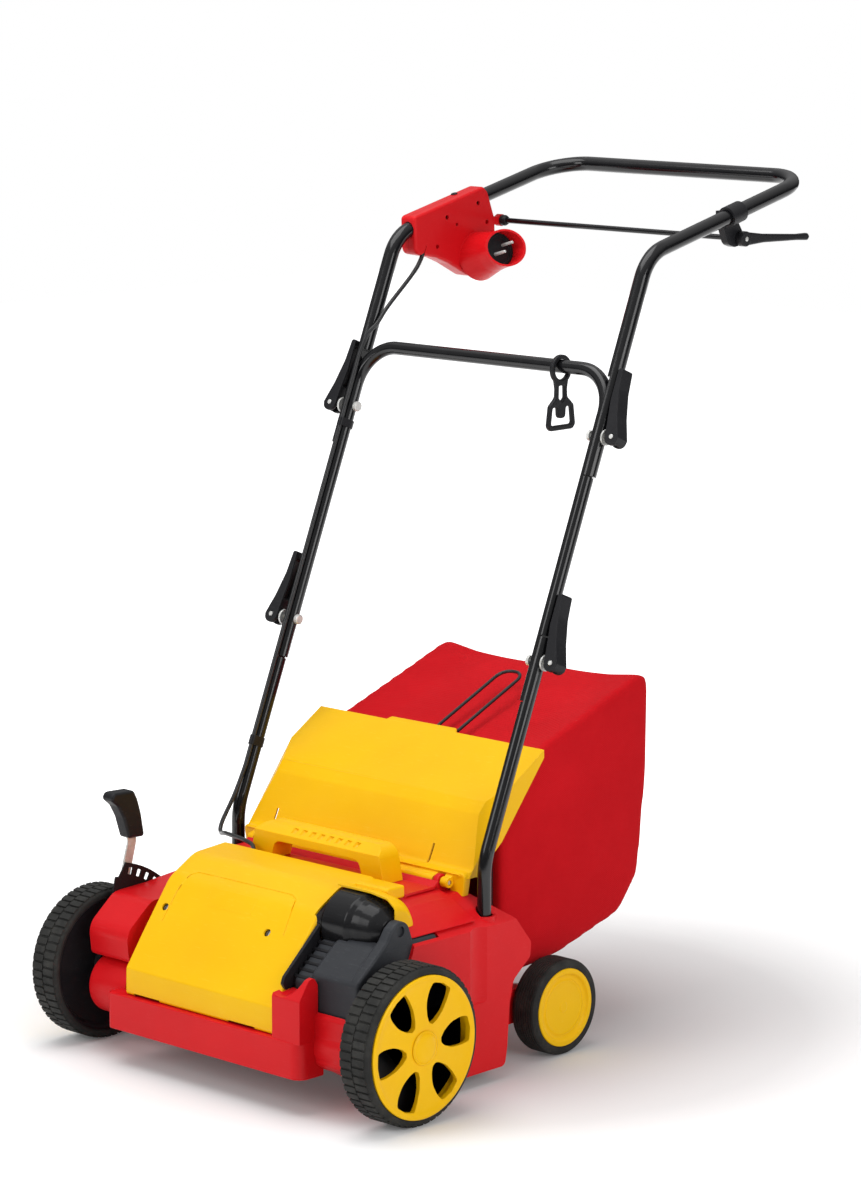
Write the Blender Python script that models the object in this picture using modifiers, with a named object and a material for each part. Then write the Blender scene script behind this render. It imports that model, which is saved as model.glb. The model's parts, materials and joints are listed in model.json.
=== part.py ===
"""Electric lawn scarifier with a three-section folding handle, a catcher bag and a yellow motor cover.

Metres, +Z up. The machine's front faces -Y and the operator stands at +Y. Every length below is measured in
the machine's own frame, whose Y = 0 is the front wheel axle. One empty then shifts the whole machine, so that
the world origin lies on the floor under the middle of its bounding box.
"""

import math

import bmesh
import bpy
from mathutils import Matrix, Vector

# Fits
GAP = 0.0003
PIN_PLAY = 0.0003

# Front wheels
FRONT_R = 0.095
FRONT_IN_X = 0.243
FRONT_OUT_X = 0.2885
FRONT_RIM_R = 0.0845
HUB_LIP_R = 0.0853
HUB_LIP_X = 0.0025
HUB_WALL = 0.0042
HUB_DISC = 0.006
HUB_BOSS_R = 0.014
WINDOW_IN_R = 0.029
WINDOW_OUT_R = 0.076
WINDOW_COUNT = 6
WINDOW_PHASE = 6.0
CAP_R = 0.0190
CAP_PROUD = 0.0035
WHEEL_STEPS = 28

# Front crank axle and its depth lever
PIVOT_Y = -0.020
PIVOT_Z = 0.080
AXLE_R = 0.007
STUB_R = 0.006
WEB_X = 0.2365
WEB_T = 0.005
SECTOR_R = 0.146
SECTOR_IN_R = 0.100
SECTOR_T = 0.002
SECTOR_FROM = 9.0
SECTOR_TO = 46.0
SECTOR_SLOTS = 5
LEVER_ANGLE = 15.5
LEVER_T = 0.0028
LEVER_W = 0.014
LEVER_LOW = 0.150
LEVER_BEND = (0.0265, 0.2470)
LEVER_TIP = (0.0205, 0.2770)
GRIP_T = 0.020

# Rear wheels
REAR_Y = 0.3277
REAR_R = 0.0595
REAR_IN_X = 0.179
REAR_OUT_X = 0.216
REAR_RIM_R = 0.0485
REAR_AXLE_R = 0.005
REAR_STEPS = 28

# Chassis
WALL = 0.003
BUMPER_HALF = 0.163
BUMPER_LEFT = -0.1675
BUMPER_Y = -0.0765
BUMPER_TOP = 0.089
BUMPER_BOTTOM = 0.0435
BOX_IN_X = 0.160
BOX_OUT_X = 0.228
BOX_WALL = 0.004
SKIRT_Z = 0.016
BACK_WALL_Y = 0.100
DECK_Z = 0.2345
DECK_END_Y = 0.150
LEFT_BOSS_R = 0.037
RIGHT_BOSS_R = 0.033
ARM_IN_X = 0.150
ARM_OUT_X = 0.176

# Blade roller and its drive
ROLLER_Y = 0.085
ROLLER_Z = 0.0625
TIP_R = 0.0575
TUNNEL_R = 0.0665
SHAFT_R = 0.009
BLADE_COUNT = 13
BLADE_SPAN = 0.148
BLADE_T = 0.002
BLADE_ROOT_R = 0.022
BEARING_R = 0.013
BEARING_X = 0.1635
BEARING_W = 0.007
ROLLER_PULLEY_R = 0.030
MOTOR_PULLEY_R = 0.012
PULLEY_X = 0.172
PULLEY_W = 0.010
BELT_T = 0.003
BELT_W = 0.008

# Motor, its covers and the carrying handle
MOTOR_Y = 0.040
MOTOR_Z = 0.207
STATOR_R = 0.0265
STATOR_FROM_X = -0.075
STATOR_TO_X = 0.104
END_CAP_R = 0.038
END_CAP_X = 0.1220
END_CAP_TO_X = 0.165
SHELL = 0.0025
COVER_LEFT_X = -0.142
COVER_RIGHT_X = 0.116
COVER_HOOD_X = 0.206
BELT_COVER_X = 0.2236
VENT_X = 0.1166
VENT_T = 0.004
BELT_BOX_X = 0.147
TOWER_X = 0.1668
TOWER_R = 0.0275
CARRY_HALF = 0.107
CARRY_Y = 0.132
CARRY_DEPTH = 0.026
CARRY_TOP = 0.278
CARRY_BAR = 0.014

# Rear flap
FLAP_Y = 0.170
FLAP_Z = 0.237
FLAP_HALF = 0.190
FLAP_ROD_R = 0.003
LUG_X = 0.150
LUG_T = 0.008

# Bag
BAG_HALF = 0.170
BAG_WALL = 0.003
MOUTH_HALF = 0.150
MOUTH_Y = 0.2587
FRAME_WIRE_R = 0.003
LOOP_WIRE_R = 0.0022

# Handle
LEAN = 22.4
ARM_RISE = 13.8
LOW_X = 0.210
MID_X = 0.2080
LOW_TUBE_R = 0.0085
UP_TUBE_R = 0.0095
FOOT_Y = 0.187
FOOT_Z = 0.1553
KNEE_Z = 0.2648
LOW_PIN_Z = 0.4944
UP_PIN_Z = 0.7545
PIN_R = 0.003
LAP_X = 0.2092
LOW_TOP_PAST_PIN = 0.030
MID_BELOW_PIN = 0.050
MID_TOP_Z = 0.8294
UP_BELOW_PIN = 0.050
LAP_BELOW = 0.0515
LAP_ABOVE_LOW_PIN = 0.0320
LAP_ABOVE_UP_PIN = 0.0740
ELBOW_Z = 0.9664
BAR_Y = 0.7884
CORNER_R = 0.055
MID_CORNER_R = 0.052
CAM_PIN_X = 0.2365
CAM_R = 0.0105
CAM_LENGTH = 0.0845
CAM_W = 0.020

# Switch box, inlet, lever, cable and hook
BOX_FRONT_X = -0.197
BOX_BACK_X = -0.2235
BOX_SHELL = 0.003
INLET_R = 0.0248
INLET_BORE_R = 0.0218
INLET_LENGTH = 0.068
INLET_DEPTH = 0.030
ROD_BEHIND_ELBOW = 0.1868
ROD_ABOVE_ELBOW = 0.0076
ROD_R = 0.0035
CABLE_R = 0.00275
CABLE_X = -0.2055
CABLE_CLEAR = 0.00047
CABLE_SPLIT_Z = 0.7200
CLIP_T = 0.0012
JOINT_CLIP_Z = 0.7325
HOOK_X = 0.1205
HOOK_T = 0.006
BUTTON_R = 0.0042
BUTTON_X = -0.2160
BUTTON_SHARE = 0.7176

PARTS = "lawn_scarifier"
CUTTERS = "cutters"


def clear_scene():
    for obj in list(bpy.data.objects):
        bpy.data.objects.remove(obj, do_unlink=True)


def new_collection(name):
    collection = bpy.data.collections.new(name)
    bpy.context.scene.collection.children.link(collection)
    return collection


def material(name, colour, roughness, metallic=0.0):
    made = bpy.data.materials.new(name)
    made.use_nodes = True
    shader = made.node_tree.nodes["Principled BSDF"]
    shader.inputs["Base Color"].default_value = (*colour, 1.0)
    shader.inputs["Roughness"].default_value = roughness
    shader.inputs["Metallic"].default_value = metallic
    return made


# Plane maps: a flat outline is drawn in local X and Y, and its thickness runs along local Z
ALONG_X = Matrix(((0, 0, 1, 0), (1, 0, 0, 0), (0, 1, 0, 0), (0, 0, 0, 1)))
ALONG_Y = Matrix(((1, 0, 0, 0), (0, 0, -1, 0), (0, 1, 0, 0), (0, 0, 0, 1)))


def scratch_collection():
    return bpy.data.collections[CUTTERS]


def as_mesh(obj, turn_out=True):
    """Turn a curve, or an object with modifiers, into a plain welded mesh in the machine's frame."""
    bpy.context.view_layer.update()
    graph = bpy.context.evaluated_depsgraph_get()
    mesh = bpy.data.meshes.new_from_object(obj.evaluated_get(graph))
    mesh.transform(obj.matrix_world)
    work = bmesh.new()
    work.from_mesh(mesh)
    bmesh.ops.remove_doubles(work, verts=work.verts, dist=1e-6)
    if turn_out:
        bmesh.ops.recalc_face_normals(work, faces=work.faces)
    work.to_mesh(mesh)
    work.free()
    made = bpy.data.objects.new(obj.name + "_mesh", mesh)
    scratch_collection().objects.link(made)
    bpy.data.objects.remove(obj, do_unlink=True)
    return made


def plate(outlines, low, high, plane=ALONG_X):
    """A flat outline, or an outline with holes, given a thickness from low to high across its plane."""
    curve = bpy.data.curves.new("outline", "CURVE")
    curve.dimensions = "2D"
    curve.fill_mode = "BOTH"
    curve.extrude = (high - low) / 2
    if isinstance(outlines[0][0], (int, float)):
        outlines = [outlines]
    for points in outlines:
        spline = curve.splines.new("POLY")
        spline.points.add(len(points) - 1)
        for spot, (across, up) in zip(spline.points, points):
            spot.co = (across, up, 0.0, 1.0)
        spline.use_cyclic_u = True
    obj = bpy.data.objects.new("outline", curve)
    scratch_collection().objects.link(obj)
    obj.matrix_world = plane @ Matrix.Translation((0, 0, (low + high) / 2))
    return as_mesh(obj)


def block(low, high):
    bpy.ops.mesh.primitive_cube_add(size=1)
    obj = bpy.context.object
    for other in list(obj.users_collection):
        other.objects.unlink(obj)
    scratch_collection().objects.link(obj)
    low, high = Vector(low), Vector(high)
    size = high - low
    obj.matrix_world = Matrix.Translation((low + high) / 2) @ Matrix.Diagonal((*size, 1))
    return as_mesh(obj)


def rod(start, end, radius, sides=12, end_radius=None):
    """A cylinder, or a cone, between two points. Its first flat faces the local -Y side."""
    start, end = Vector(start), Vector(end)
    work = bmesh.new()
    bmesh.ops.create_cone(
        work,
        cap_ends=True,
        segments=sides,
        radius1=radius,
        radius2=radius if end_radius is None else end_radius,
        depth=(end - start).length,
    )
    mesh = bpy.data.meshes.new("rod")
    work.to_mesh(mesh)
    work.free()
    obj = bpy.data.objects.new("rod", mesh)
    scratch_collection().objects.link(obj)
    turn = (end - start).to_track_quat("Z", "Y").to_matrix().to_4x4()
    obj.matrix_world = Matrix.Translation((start + end) / 2) @ turn
    return as_mesh(obj)


def cross_rod(start_x, end_x, y, z, radius, sides=12):
    """A rod that runs straight across the machine at one place of its side view."""
    return rod((start_x, y, z), (end_x, y, z), radius, sides)


def turned(profile, steps, side, y, z):
    """A profile of (radius, X) points turned round an axle along X, standing on a flat facet."""
    mesh = bpy.data.meshes.new("profile")
    lift = 1 / math.cos(math.pi / steps)
    points = [(radius * lift, 0.0, across) for radius, across in profile]
    edges = [(i, (i + 1) % len(points)) for i in range(len(points))]
    if profile[0][0] == 0 and profile[-1][0] == 0:
        edges.pop()
    mesh.from_pydata(points, edges, [])
    obj = bpy.data.objects.new("profile", mesh)
    scratch_collection().objects.link(obj)
    screw = obj.modifiers.new("turn", "SCREW")
    screw.steps = steps
    screw.render_steps = steps
    screw.use_merge_vertices = True
    screw.merge_threshold = 1e-5
    quarter = Matrix.Rotation(math.pi / 2, 4, "Y") @ Matrix.Rotation(math.pi / steps, 4, "Z")
    mirror = Matrix.Diagonal((side, 1, 1, 1))
    obj.matrix_world = Matrix.Translation((0, y, z)) @ mirror @ quarter
    return as_mesh(obj)


def tube(points, radius, resolution=2, closed=False):
    curve = bpy.data.curves.new("tube", "CURVE")
    curve.dimensions = "3D"
    curve.bevel_depth = radius
    curve.bevel_resolution = resolution
    curve.use_fill_caps = not closed
    spline = curve.splines.new("POLY")
    spline.points.add(len(points) - 1)
    for spot, point in zip(spline.points, points):
        spot.co = (*point, 1.0)
    spline.use_cyclic_u = closed
    obj = bpy.data.objects.new("tube", curve)
    scratch_collection().objects.link(obj)
    return as_mesh(obj)


def combine(base, other, operation):
    step = base.modifiers.new(operation, "BOOLEAN")
    step.operation = operation
    step.solver = "EXACT"
    step.object = other
    made = as_mesh(base, turn_out=False)
    bpy.data.objects.remove(other, do_unlink=True)
    return made


def join(base, *others):
    for other in others:
        base = combine(base, other, "UNION")
    return base


def cut(base, *others):
    for other in others:
        base = combine(base, other, "DIFFERENCE")
    return base


def sliced(obj, x, side):
    """Keep what lies on one side of a plane across the machine, and close the cut with one face."""
    work = bmesh.new()
    work.from_mesh(obj.data)
    every = work.verts[:] + work.edges[:] + work.faces[:]
    found = bmesh.ops.bisect_plane(work, geom=every, plane_co=(x, 0, 0), plane_no=(side, 0, 0), clear_inner=True)
    ring = [part for part in found["geom_cut"] if isinstance(part, bmesh.types.BMEdge)]
    bmesh.ops.edgeloop_fill(work, edges=ring)
    bmesh.ops.recalc_face_normals(work, faces=work.faces)
    work.to_mesh(obj.data)
    work.free()
    return obj


def soften(obj, width, segments=2, angle=35.0):
    step = obj.modifiers.new("bevel", "BEVEL")
    step.width = width
    step.segments = segments
    step.limit_method = "ANGLE"
    step.angle_limit = math.radians(angle)
    return as_mesh(obj, turn_out=False)


def fillet(points, radii, segments=4, closed=False):
    """Round the corners of a path of 2D or 3D points. A radius of 0 keeps its corner sharp."""
    spots = [Vector(point).to_3d() for point in points]
    size = len(Vector(points[0]))
    count = len(spots)
    if isinstance(radii, (int, float)):
        radii = [radii] * count
    made = []
    for i, (spot, radius) in enumerate(zip(spots, radii)):
        at_end = not closed and i in (0, count - 1)
        if radius == 0 or at_end:
            made.append(spot)
            continue
        back = (spots[i - 1] - spot).normalized()
        ahead = (spots[(i + 1) % count] - spot).normalized()
        half = back.angle(ahead) / 2
        reach = radius / math.tan(half)
        centre = spot + (back + ahead).normalized() * (radius / math.sin(half))
        first = spot + back * reach - centre
        last = spot + ahead * reach - centre
        turn = math.pi - 2 * half
        for k in range(segments + 1):
            share = k / segments
            weight_a = math.sin((1 - share) * turn) / math.sin(turn)
            weight_b = math.sin(share * turn) / math.sin(turn)
            made.append(centre + first * weight_a + last * weight_b)
    return [tuple(spot)[:size] for spot in made]


def strip(points, thickness):
    """The outline of a bent sheet: the path, and the path moved to its right by the thickness."""
    spots = [Vector(point) for point in points]
    inner = []
    for i, spot in enumerate(spots):
        before = (spot - spots[i - 1]).normalized() if i else None
        after = (spots[i + 1] - spot).normalized() if i < len(spots) - 1 else None
        before = before or after
        after = after or before
        mean = (before + after).normalized()
        normal = Vector((mean.y, -mean.x))
        inner.append(spot + normal * (thickness / max(0.3, mean.dot(after))))
    return [tuple(spot) for spot in spots] + [tuple(spot) for spot in reversed(inner)]


def inset(outline, distance):
    """The same outline moved inwards. It is given in either direction."""
    spots = [Vector(point) for point in outline]
    count = len(spots)
    area = sum(a.x * b.y - a.y * b.x for a, b in zip(spots, spots[1:] + spots[:1]))
    inward = 1 if area > 0 else -1
    made = []
    for i, spot in enumerate(spots):
        before = (spot - spots[i - 1]).normalized()
        after = (spots[(i + 1) % count] - spot).normalized()
        mean = (before + after).normalized()
        normal = Vector((-mean.y, mean.x)) * inward
        made.append(tuple(spot + normal * (distance / max(0.35, mean.dot(after)))))
    return made


def arc(centre, radius, start, end, steps):
    """Points on a circle, with angles in degrees from the first axis towards the second."""
    angles = [math.radians(start + (end - start) * k / steps) for k in range(steps + 1)]
    return [(centre[0] + radius * math.cos(a), centre[1] + radius * math.sin(a)) for a in angles]


def hole_radius(radius, steps):
    """The radius of a hole that leaves the gap round a turned piece with the same number of steps."""
    return radius / math.cos(math.pi / steps) ** 2 + GAP


def around_pivot(angle, radius):
    """A point seen from the crank pivot, at an angle in degrees from straight up towards the rear."""
    turn = math.radians(angle)
    return PIVOT_Y + radius * math.sin(turn), PIVOT_Z + radius * math.cos(turn)


def handle_y(z):
    """The handle's straight line in the side view."""
    return FOOT_Y + (z - KNEE_Z) * math.tan(math.radians(LEAN))


UP_HANDLE = Vector((0, math.sin(math.radians(LEAN)), math.cos(math.radians(LEAN))))
AHEAD_OF_HANDLE = Vector((0, -UP_HANDLE.z, UP_HANDLE.y))
LOW_PIN = Vector((0, handle_y(LOW_PIN_Z), LOW_PIN_Z))
UP_PIN = Vector((0, handle_y(UP_PIN_Z), UP_PIN_Z))
ELBOW = Vector((0, handle_y(ELBOW_Z), ELBOW_Z))
BAR_Z = ELBOW_Z + (BAR_Y - ELBOW.y) * math.tan(math.radians(ARM_RISE))
CROSSBAR = Vector((0, handle_y(MID_TOP_Z), MID_TOP_Z))
ALONG_ARM = Vector((0, math.cos(math.radians(ARM_RISE)), math.sin(math.radians(ARM_RISE))))


WIDEST_TUBE_R = max(LOW_TUBE_R, UP_TUBE_R)


def cable_reach(tube_x, tube_r):
    """How far in front of a tube's axis the cable lies when it clears that tube."""
    return math.sqrt((tube_r + CABLE_R + CABLE_CLEAR) ** 2 - (tube_x + CABLE_X) ** 2)


CABLE_AHEAD = max(cable_reach(LOW_X, WIDEST_TUBE_R), cable_reach(MID_X, LOW_TUBE_R))


def by_elbow(behind, above):
    """A point of the side view measured from the handle's elbow, so that the switch pieces stay on the arm."""
    return ELBOW.y + behind, ELBOW.z + above


ROD_Y, ROD_Z = by_elbow(ROD_BEHIND_ELBOW, ROD_ABOVE_ELBOW)


def arm_z(y):
    return ELBOW_Z + (y - ELBOW.y) * math.tan(math.radians(ARM_RISE))


# Bodies: each has an empty on its joint's axis
ROOT_SHIFT = (BAR_Y + UP_TUBE_R - FRONT_R) / 2


def empty(name, place, parent=None):
    made = bpy.data.objects.new(name, None)
    made.empty_display_size = 0.03
    bpy.data.collections[PARTS].objects.link(made)
    made.parent = parent
    made.location = Vector(place) - (body_place(parent) if parent else Vector((0, 0, 0)))
    made["place"] = tuple(place)
    return made


def body_place(obj):
    return Vector(obj["place"]) if "place" in obj else Vector((0, 0, 0))


def node(obj, name, finish, body, sharp=40.0):
    """Name a finished solid, give it its material and hang it on its body's empty."""
    scratch_collection().objects.unlink(obj)
    bpy.data.collections[PARTS].objects.link(obj)
    obj.name = name
    obj.data.name = name
    obj.data.materials.clear()
    obj.data.materials.append(finish)
    for face in obj.data.polygons:
        face.material_index = 0
    obj.data.shade_smooth()
    obj.data.set_sharp_from_angle(angle=math.radians(sharp))
    obj.parent = body
    obj.location = -body_place(body)
    return obj


def make_materials():
    return {
        "red": material("red_plastic", (0.60, 0.012, 0.016), 0.42),
        "yellow": material("yellow_plastic", (0.95, 0.62, 0.0), 0.40),
        "black": material("black_plastic", (0.022, 0.022, 0.024), 0.45),
        "grey": material("grey_plastic", (0.060, 0.062, 0.066), 0.50),
        "rubber": material("tyre_rubber", (0.030, 0.030, 0.028), 0.75),
        "tube": material("painted_tube", (0.012, 0.012, 0.014), 0.28, 0.3),
        "steel": material("zinc_steel", (0.62, 0.62, 0.60), 0.32, 1.0),
        "dark": material("dark_steel", (0.20, 0.20, 0.21), 0.40, 1.0),
        "fabric": material("bag_fabric", (0.56, 0.010, 0.014), 0.90),
        "wire": material("coated_wire", (0.015, 0.015, 0.016), 0.35),
        "copper": material("motor_winding", (0.55, 0.25, 0.10), 0.45, 0.6),
    }


def front_wheel(side, label, body, finishes):
    inner, outer = FRONT_IN_X, FRONT_OUT_X
    bore = STUB_R + PIN_PLAY
    tyre_profile = [
        (bore, inner + 0.016),
        (bore, inner + 0.004),
        (0.018, inner + 0.004),
        (0.024, inner + 0.011),
        (FRONT_RIM_R - 0.006, inner + 0.011),
        (FRONT_RIM_R - 0.003, inner + 0.001),
        (FRONT_R - 0.004, inner),
        (FRONT_R, inner + 0.005),
        (FRONT_R, outer - 0.005),
        (FRONT_R - 0.004, outer),
        (FRONT_RIM_R, outer - 0.0015),
        (FRONT_RIM_R, inner + 0.014),
        (0.022, inner + 0.014),
        (0.018, inner + 0.016),
    ]
    tyre = turned(tyre_profile, WHEEL_STEPS, side, 0, FRONT_R)
    node(tyre, f"front_tyre_{label}", finishes["rubber"], body)
    face = outer + HUB_LIP_X
    seat = FRONT_RIM_R - GAP
    hub_profile = [
        (seat, outer - 0.018),
        (seat, outer + GAP),
        (HUB_LIP_R, outer + GAP),
        (HUB_LIP_R - 0.001, face),
        (WINDOW_OUT_R + 0.002, face),
        (WINDOW_OUT_R - 0.004, face - 0.0018),
        (CAP_R + 0.002, face - 0.0008),
        (bore, face - 0.0008),
        (bore, inner + 0.016 + GAP),
        (HUB_BOSS_R, inner + 0.016 + GAP),
        (HUB_BOSS_R, face - HUB_DISC - 0.001),
        (seat - HUB_WALL, face - HUB_DISC),
        (seat - HUB_WALL, outer - 0.018),
    ]
    hub = turned(hub_profile, WHEEL_STEPS, side, 0, FRONT_R)
    pitch = 360.0 / WINDOW_COUNT
    for k in range(WINDOW_COUNT):
        middle = pitch * k + WINDOW_PHASE
        window = arc((0, FRONT_R), WINDOW_OUT_R, middle - 19.5, middle + 19.5, 3)
        window += arc((0, FRONT_R), WINDOW_IN_R, middle + 11, middle - 11, 2)
        ends = sorted((side * (face - HUB_DISC - 0.006), side * (face + 0.004)))
        hub = cut(hub, plate(fillet(window, [0.004, 0, 0, 0, 0.004, 0.006, 0, 0.006], 1, True), *ends))
    node(hub, f"front_hub_{label}", finishes["yellow"], body)
    back = face - 0.0008 + GAP
    cap_profile = [
        (0, back),
        (CAP_R, back),
        (CAP_R, back + CAP_PROUD - 0.0012),
        (CAP_R - 0.003, back + CAP_PROUD),
        (0, back + CAP_PROUD),
    ]
    cap = turned(cap_profile, 24, side, 0, FRONT_R)
    node(cap, f"hub_cap_{label}", finishes["yellow"], body)


def rear_wheel(side, label, body, finishes):
    inner, outer = REAR_IN_X, REAR_OUT_X
    tyre_profile = [
        (REAR_RIM_R, inner + 0.002),
        (REAR_R - 0.005, inner),
        (REAR_R, inner + 0.006),
        (REAR_R, outer - 0.006),
        (REAR_R - 0.005, outer),
        (REAR_RIM_R, outer - 0.001),
    ]
    tyre = turned(tyre_profile, REAR_STEPS, side, REAR_Y, REAR_R)
    node(tyre, f"rear_tyre_{label}", finishes["rubber"], body)
    seat = REAR_RIM_R - GAP
    bore = REAR_AXLE_R + PIN_PLAY
    disc_profile = [
        (0, outer - 0.003),
        (0.036, outer - 0.0025),
        (0.043, outer + 0.0005),
        (seat, outer),
        (seat, inner + 0.004),
        (seat - 0.004, inner + 0.004),
        (seat - 0.004, outer - 0.007),
        (0.013, outer - 0.008),
        (0.013, inner + 0.003),
        (bore, inner + 0.003),
        (bore, outer - 0.006),
        (0, outer - 0.006),
    ]
    disc = turned(disc_profile, REAR_STEPS, side, REAR_Y, REAR_R)
    node(disc, f"rear_disc_{label}", finishes["yellow"], body)


def crank_axle(body, finishes):
    axle = rod((-WEB_X - 0.001, PIVOT_Y, PIVOT_Z), (WEB_X + 0.001, PIVOT_Y, PIVOT_Z), AXLE_R, 12)
    reach = Vector((0 - PIVOT_Y, FRONT_R - PIVOT_Z))
    heading = math.degrees(math.atan2(reach.y, reach.x))
    web_outline = arc((PIVOT_Y, PIVOT_Z), 0.011, heading + 90, heading + 270, 6)
    web_outline += arc((0, FRONT_R), 0.009, heading - 90, heading + 90, 6)
    for side in (-1, 1):
        web = plate(web_outline, *sorted((side * WEB_X, side * (WEB_X + WEB_T))))
        tip = FRONT_OUT_X
        stub = rod((side * (WEB_X + 0.001), 0, FRONT_R), (side * tip, 0, FRONT_R), STUB_R, 12)
        axle = join(axle, web, stub)
    node(axle, "crank_axle", finishes["steel"], body)


def lever_band(half, past_tip=0.0):
    """The two sides of the lever's bar, which bends towards the front where it enters the grip."""
    low, bend, tip = Vector(around_pivot(LEVER_ANGLE, LEVER_LOW)), Vector(LEVER_BEND), Vector(LEVER_TIP)
    path = [low, bend, tip + (tip - bend).normalized() * past_tip]
    right = strip(path, half)[len(path):][::-1]
    left = strip(path, -half)[len(path):]
    return right, left


def depth_lever(body, finishes):
    sector_x = -(BOX_OUT_X + GAP)
    lever_x = sector_x - SECTOR_T - 0.0007
    heading = 90 - LEVER_ANGLE
    root = arc((PIVOT_Y, PIVOT_Z), LEVER_W, heading + 30, heading + 330, 10)
    right, left = lever_band(LEVER_W / 2)
    lever = plate(root + right[1:] + left[:-1], lever_x - LEVER_T, lever_x)
    hole = rod((lever_x - 0.01, PIVOT_Y, PIVOT_Z), (lever_x + 0.01, PIVOT_Y, PIVOT_Z), AXLE_R + GAP, 16)
    node(cut(lever, hole), "depth_lever", finishes["steel"], body)
    middle_x = lever_x - LEVER_T / 2
    grip_outline = [
        (0.0145, 0.2530),
        (0.0405, 0.2515),
        (0.0350, 0.2830),
        (0.0295, 0.3010),
        (0.0235, 0.3125),
        (0.0010, 0.3145),
        (-0.0045, 0.3050),
        (0.0015, 0.2960),
        (0.0070, 0.2800),
    ]
    grip_path = fillet(grip_outline, [0.003, 0.003, 0, 0.006, 0.005, 0.005, 0.003, 0.006, 0], 3, True)
    grip = soften(plate(grip_path, middle_x - GRIP_T / 2, middle_x + GRIP_T / 2), 0.003, 2, 60)
    right, left = lever_band(LEVER_W / 2 + GAP, GAP)
    slot = plate(right + left, lever_x - LEVER_T - GAP, lever_x + GAP)
    node(cut(grip, slot), "lever_grip", finishes["black"], body)


def depth_sector(body, finishes):
    inner_x = -(BOX_OUT_X + GAP)
    outline = arc((PIVOT_Y, PIVOT_Z), SECTOR_R, 90 - SECTOR_FROM, 90 - SECTOR_TO, 10)
    outline += arc((PIVOT_Y, PIVOT_Z), SECTOR_IN_R, 90 - SECTOR_TO - 4, 90 - SECTOR_FROM + 4, 6)
    holes = []
    for k in range(SECTOR_SLOTS):
        middle = SECTOR_FROM + 8.0 + k * 6.2
        low, high = SECTOR_R - 0.014, SECTOR_R - 0.005
        turns = (middle - 1.3, middle + 1.3)
        ring = [around_pivot(turns[0], low), around_pivot(turns[0], high)]
        ring += [around_pivot(turns[1], high), around_pivot(turns[1], low)]
        holes.append(ring)
    sector = plate([outline] + holes, inner_x - SECTOR_T, inner_x)
    node(sector, "depth_sector", finishes["black"], body)


REAR_OF_BOX = [
    (0.222, 0.196),
    (0.251, 0.160),
    (0.249, 0.142),
    (0.220, 0.119),
    (0.213, 0.094),
    (0.209, 0.039),
    (0.205, SKIRT_Z),
    (0.030, SKIRT_Z),
    (-0.020, 0.044),
]
REAR_ROUNDING = [0, 0.004, 0.004, 0.012, 0, 0, 0.008, 0.010, 0.010]
LEFT_OUTLINE = fillet(
    [
        (-0.050, 0.060),
        (-0.050, 0.156),
        (-0.008, 0.190),
        (0.048, 0.192),
        (0.105, 0.207),
        (0.185, 0.227),
    ] + REAR_OF_BOX,
    [0.010, 0.020, 0.020, 0, 0, 0.015] + REAR_ROUNDING,
    2,
    True,
)
RIGHT_OUTLINE = fillet(
    [(-0.050, 0.060), (-0.050, 0.1205), (0.030, 0.146), (0.057, 0.216), (0.185, 0.227)] + REAR_OF_BOX,
    [0.010, 0.006, 0.010, 0.008, 0.015] + REAR_ROUNDING,
    2,
    True,
)


def shoulder_cutter(side, depth):
    """The sloping plane that lowers the outer edge of a side box's top, moved down by a depth."""
    normal = Vector((side * 0.55, 0, 0.835)).normalized()
    slab = block((-0.2, -0.3, 0), (0.2, 0.3, 0.2))
    place = Vector((side * 0.205, 0.10, 0.208)) - normal * depth
    slab.matrix_world = Matrix.Translation(place) @ normal.to_track_quat("Z", "Y").to_matrix().to_4x4()
    return as_mesh(slab)


def side_box(side):
    outline = LEFT_OUTLINE if side < 0 else RIGHT_OUTLINE
    box = soften(plate(outline, *sorted((side * BOX_IN_X, side * BOX_OUT_X))), 0.004, 1, 60)
    box = cut(box, shoulder_cutter(side, 0))
    low, high = sorted((side * (BOX_IN_X + 0.007), side * (BOX_OUT_X - BOX_WALL)))
    cavity = inset(outline, BOX_WALL)
    hollow = cut(plate(cavity, low, high), shoulder_cutter(side, BOX_WALL))
    under = block((low + 0.0005, 0.034, SKIRT_Z - 0.01), (high - 0.0005, 0.200, SKIRT_Z + 0.02))
    return cut(box, hollow, under)


SOCKET_BELOW = Vector((0, 0, 0.0060))
SOCKET_ABOVE = Vector((0, 0, 0.0467))
TUNNEL_PATH = [(-0.0560, BUMPER_TOP - 0.0004), (-0.0480, BUMPER_TOP - 0.0004), (-0.030, 0.0995)]
TUNNEL_PATH += arc((ROLLER_Y, ROLLER_Z), TUNNEL_R, 158, 78, 7)
DECK_PATH = [(BACK_WALL_Y, 0.140), (BACK_WALL_Y, DECK_Z), (DECK_END_Y, DECK_Z)]


def belt_room(less=0.0):
    """The space on the right that the belt cover fills, or a little less of it."""
    high = (BELT_COVER_X + 0.0002 - less, 0.0946 - less, 0.300)
    return block((0.1222 + less, -0.0446 + less, 0.1134 + less), high)


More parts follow.
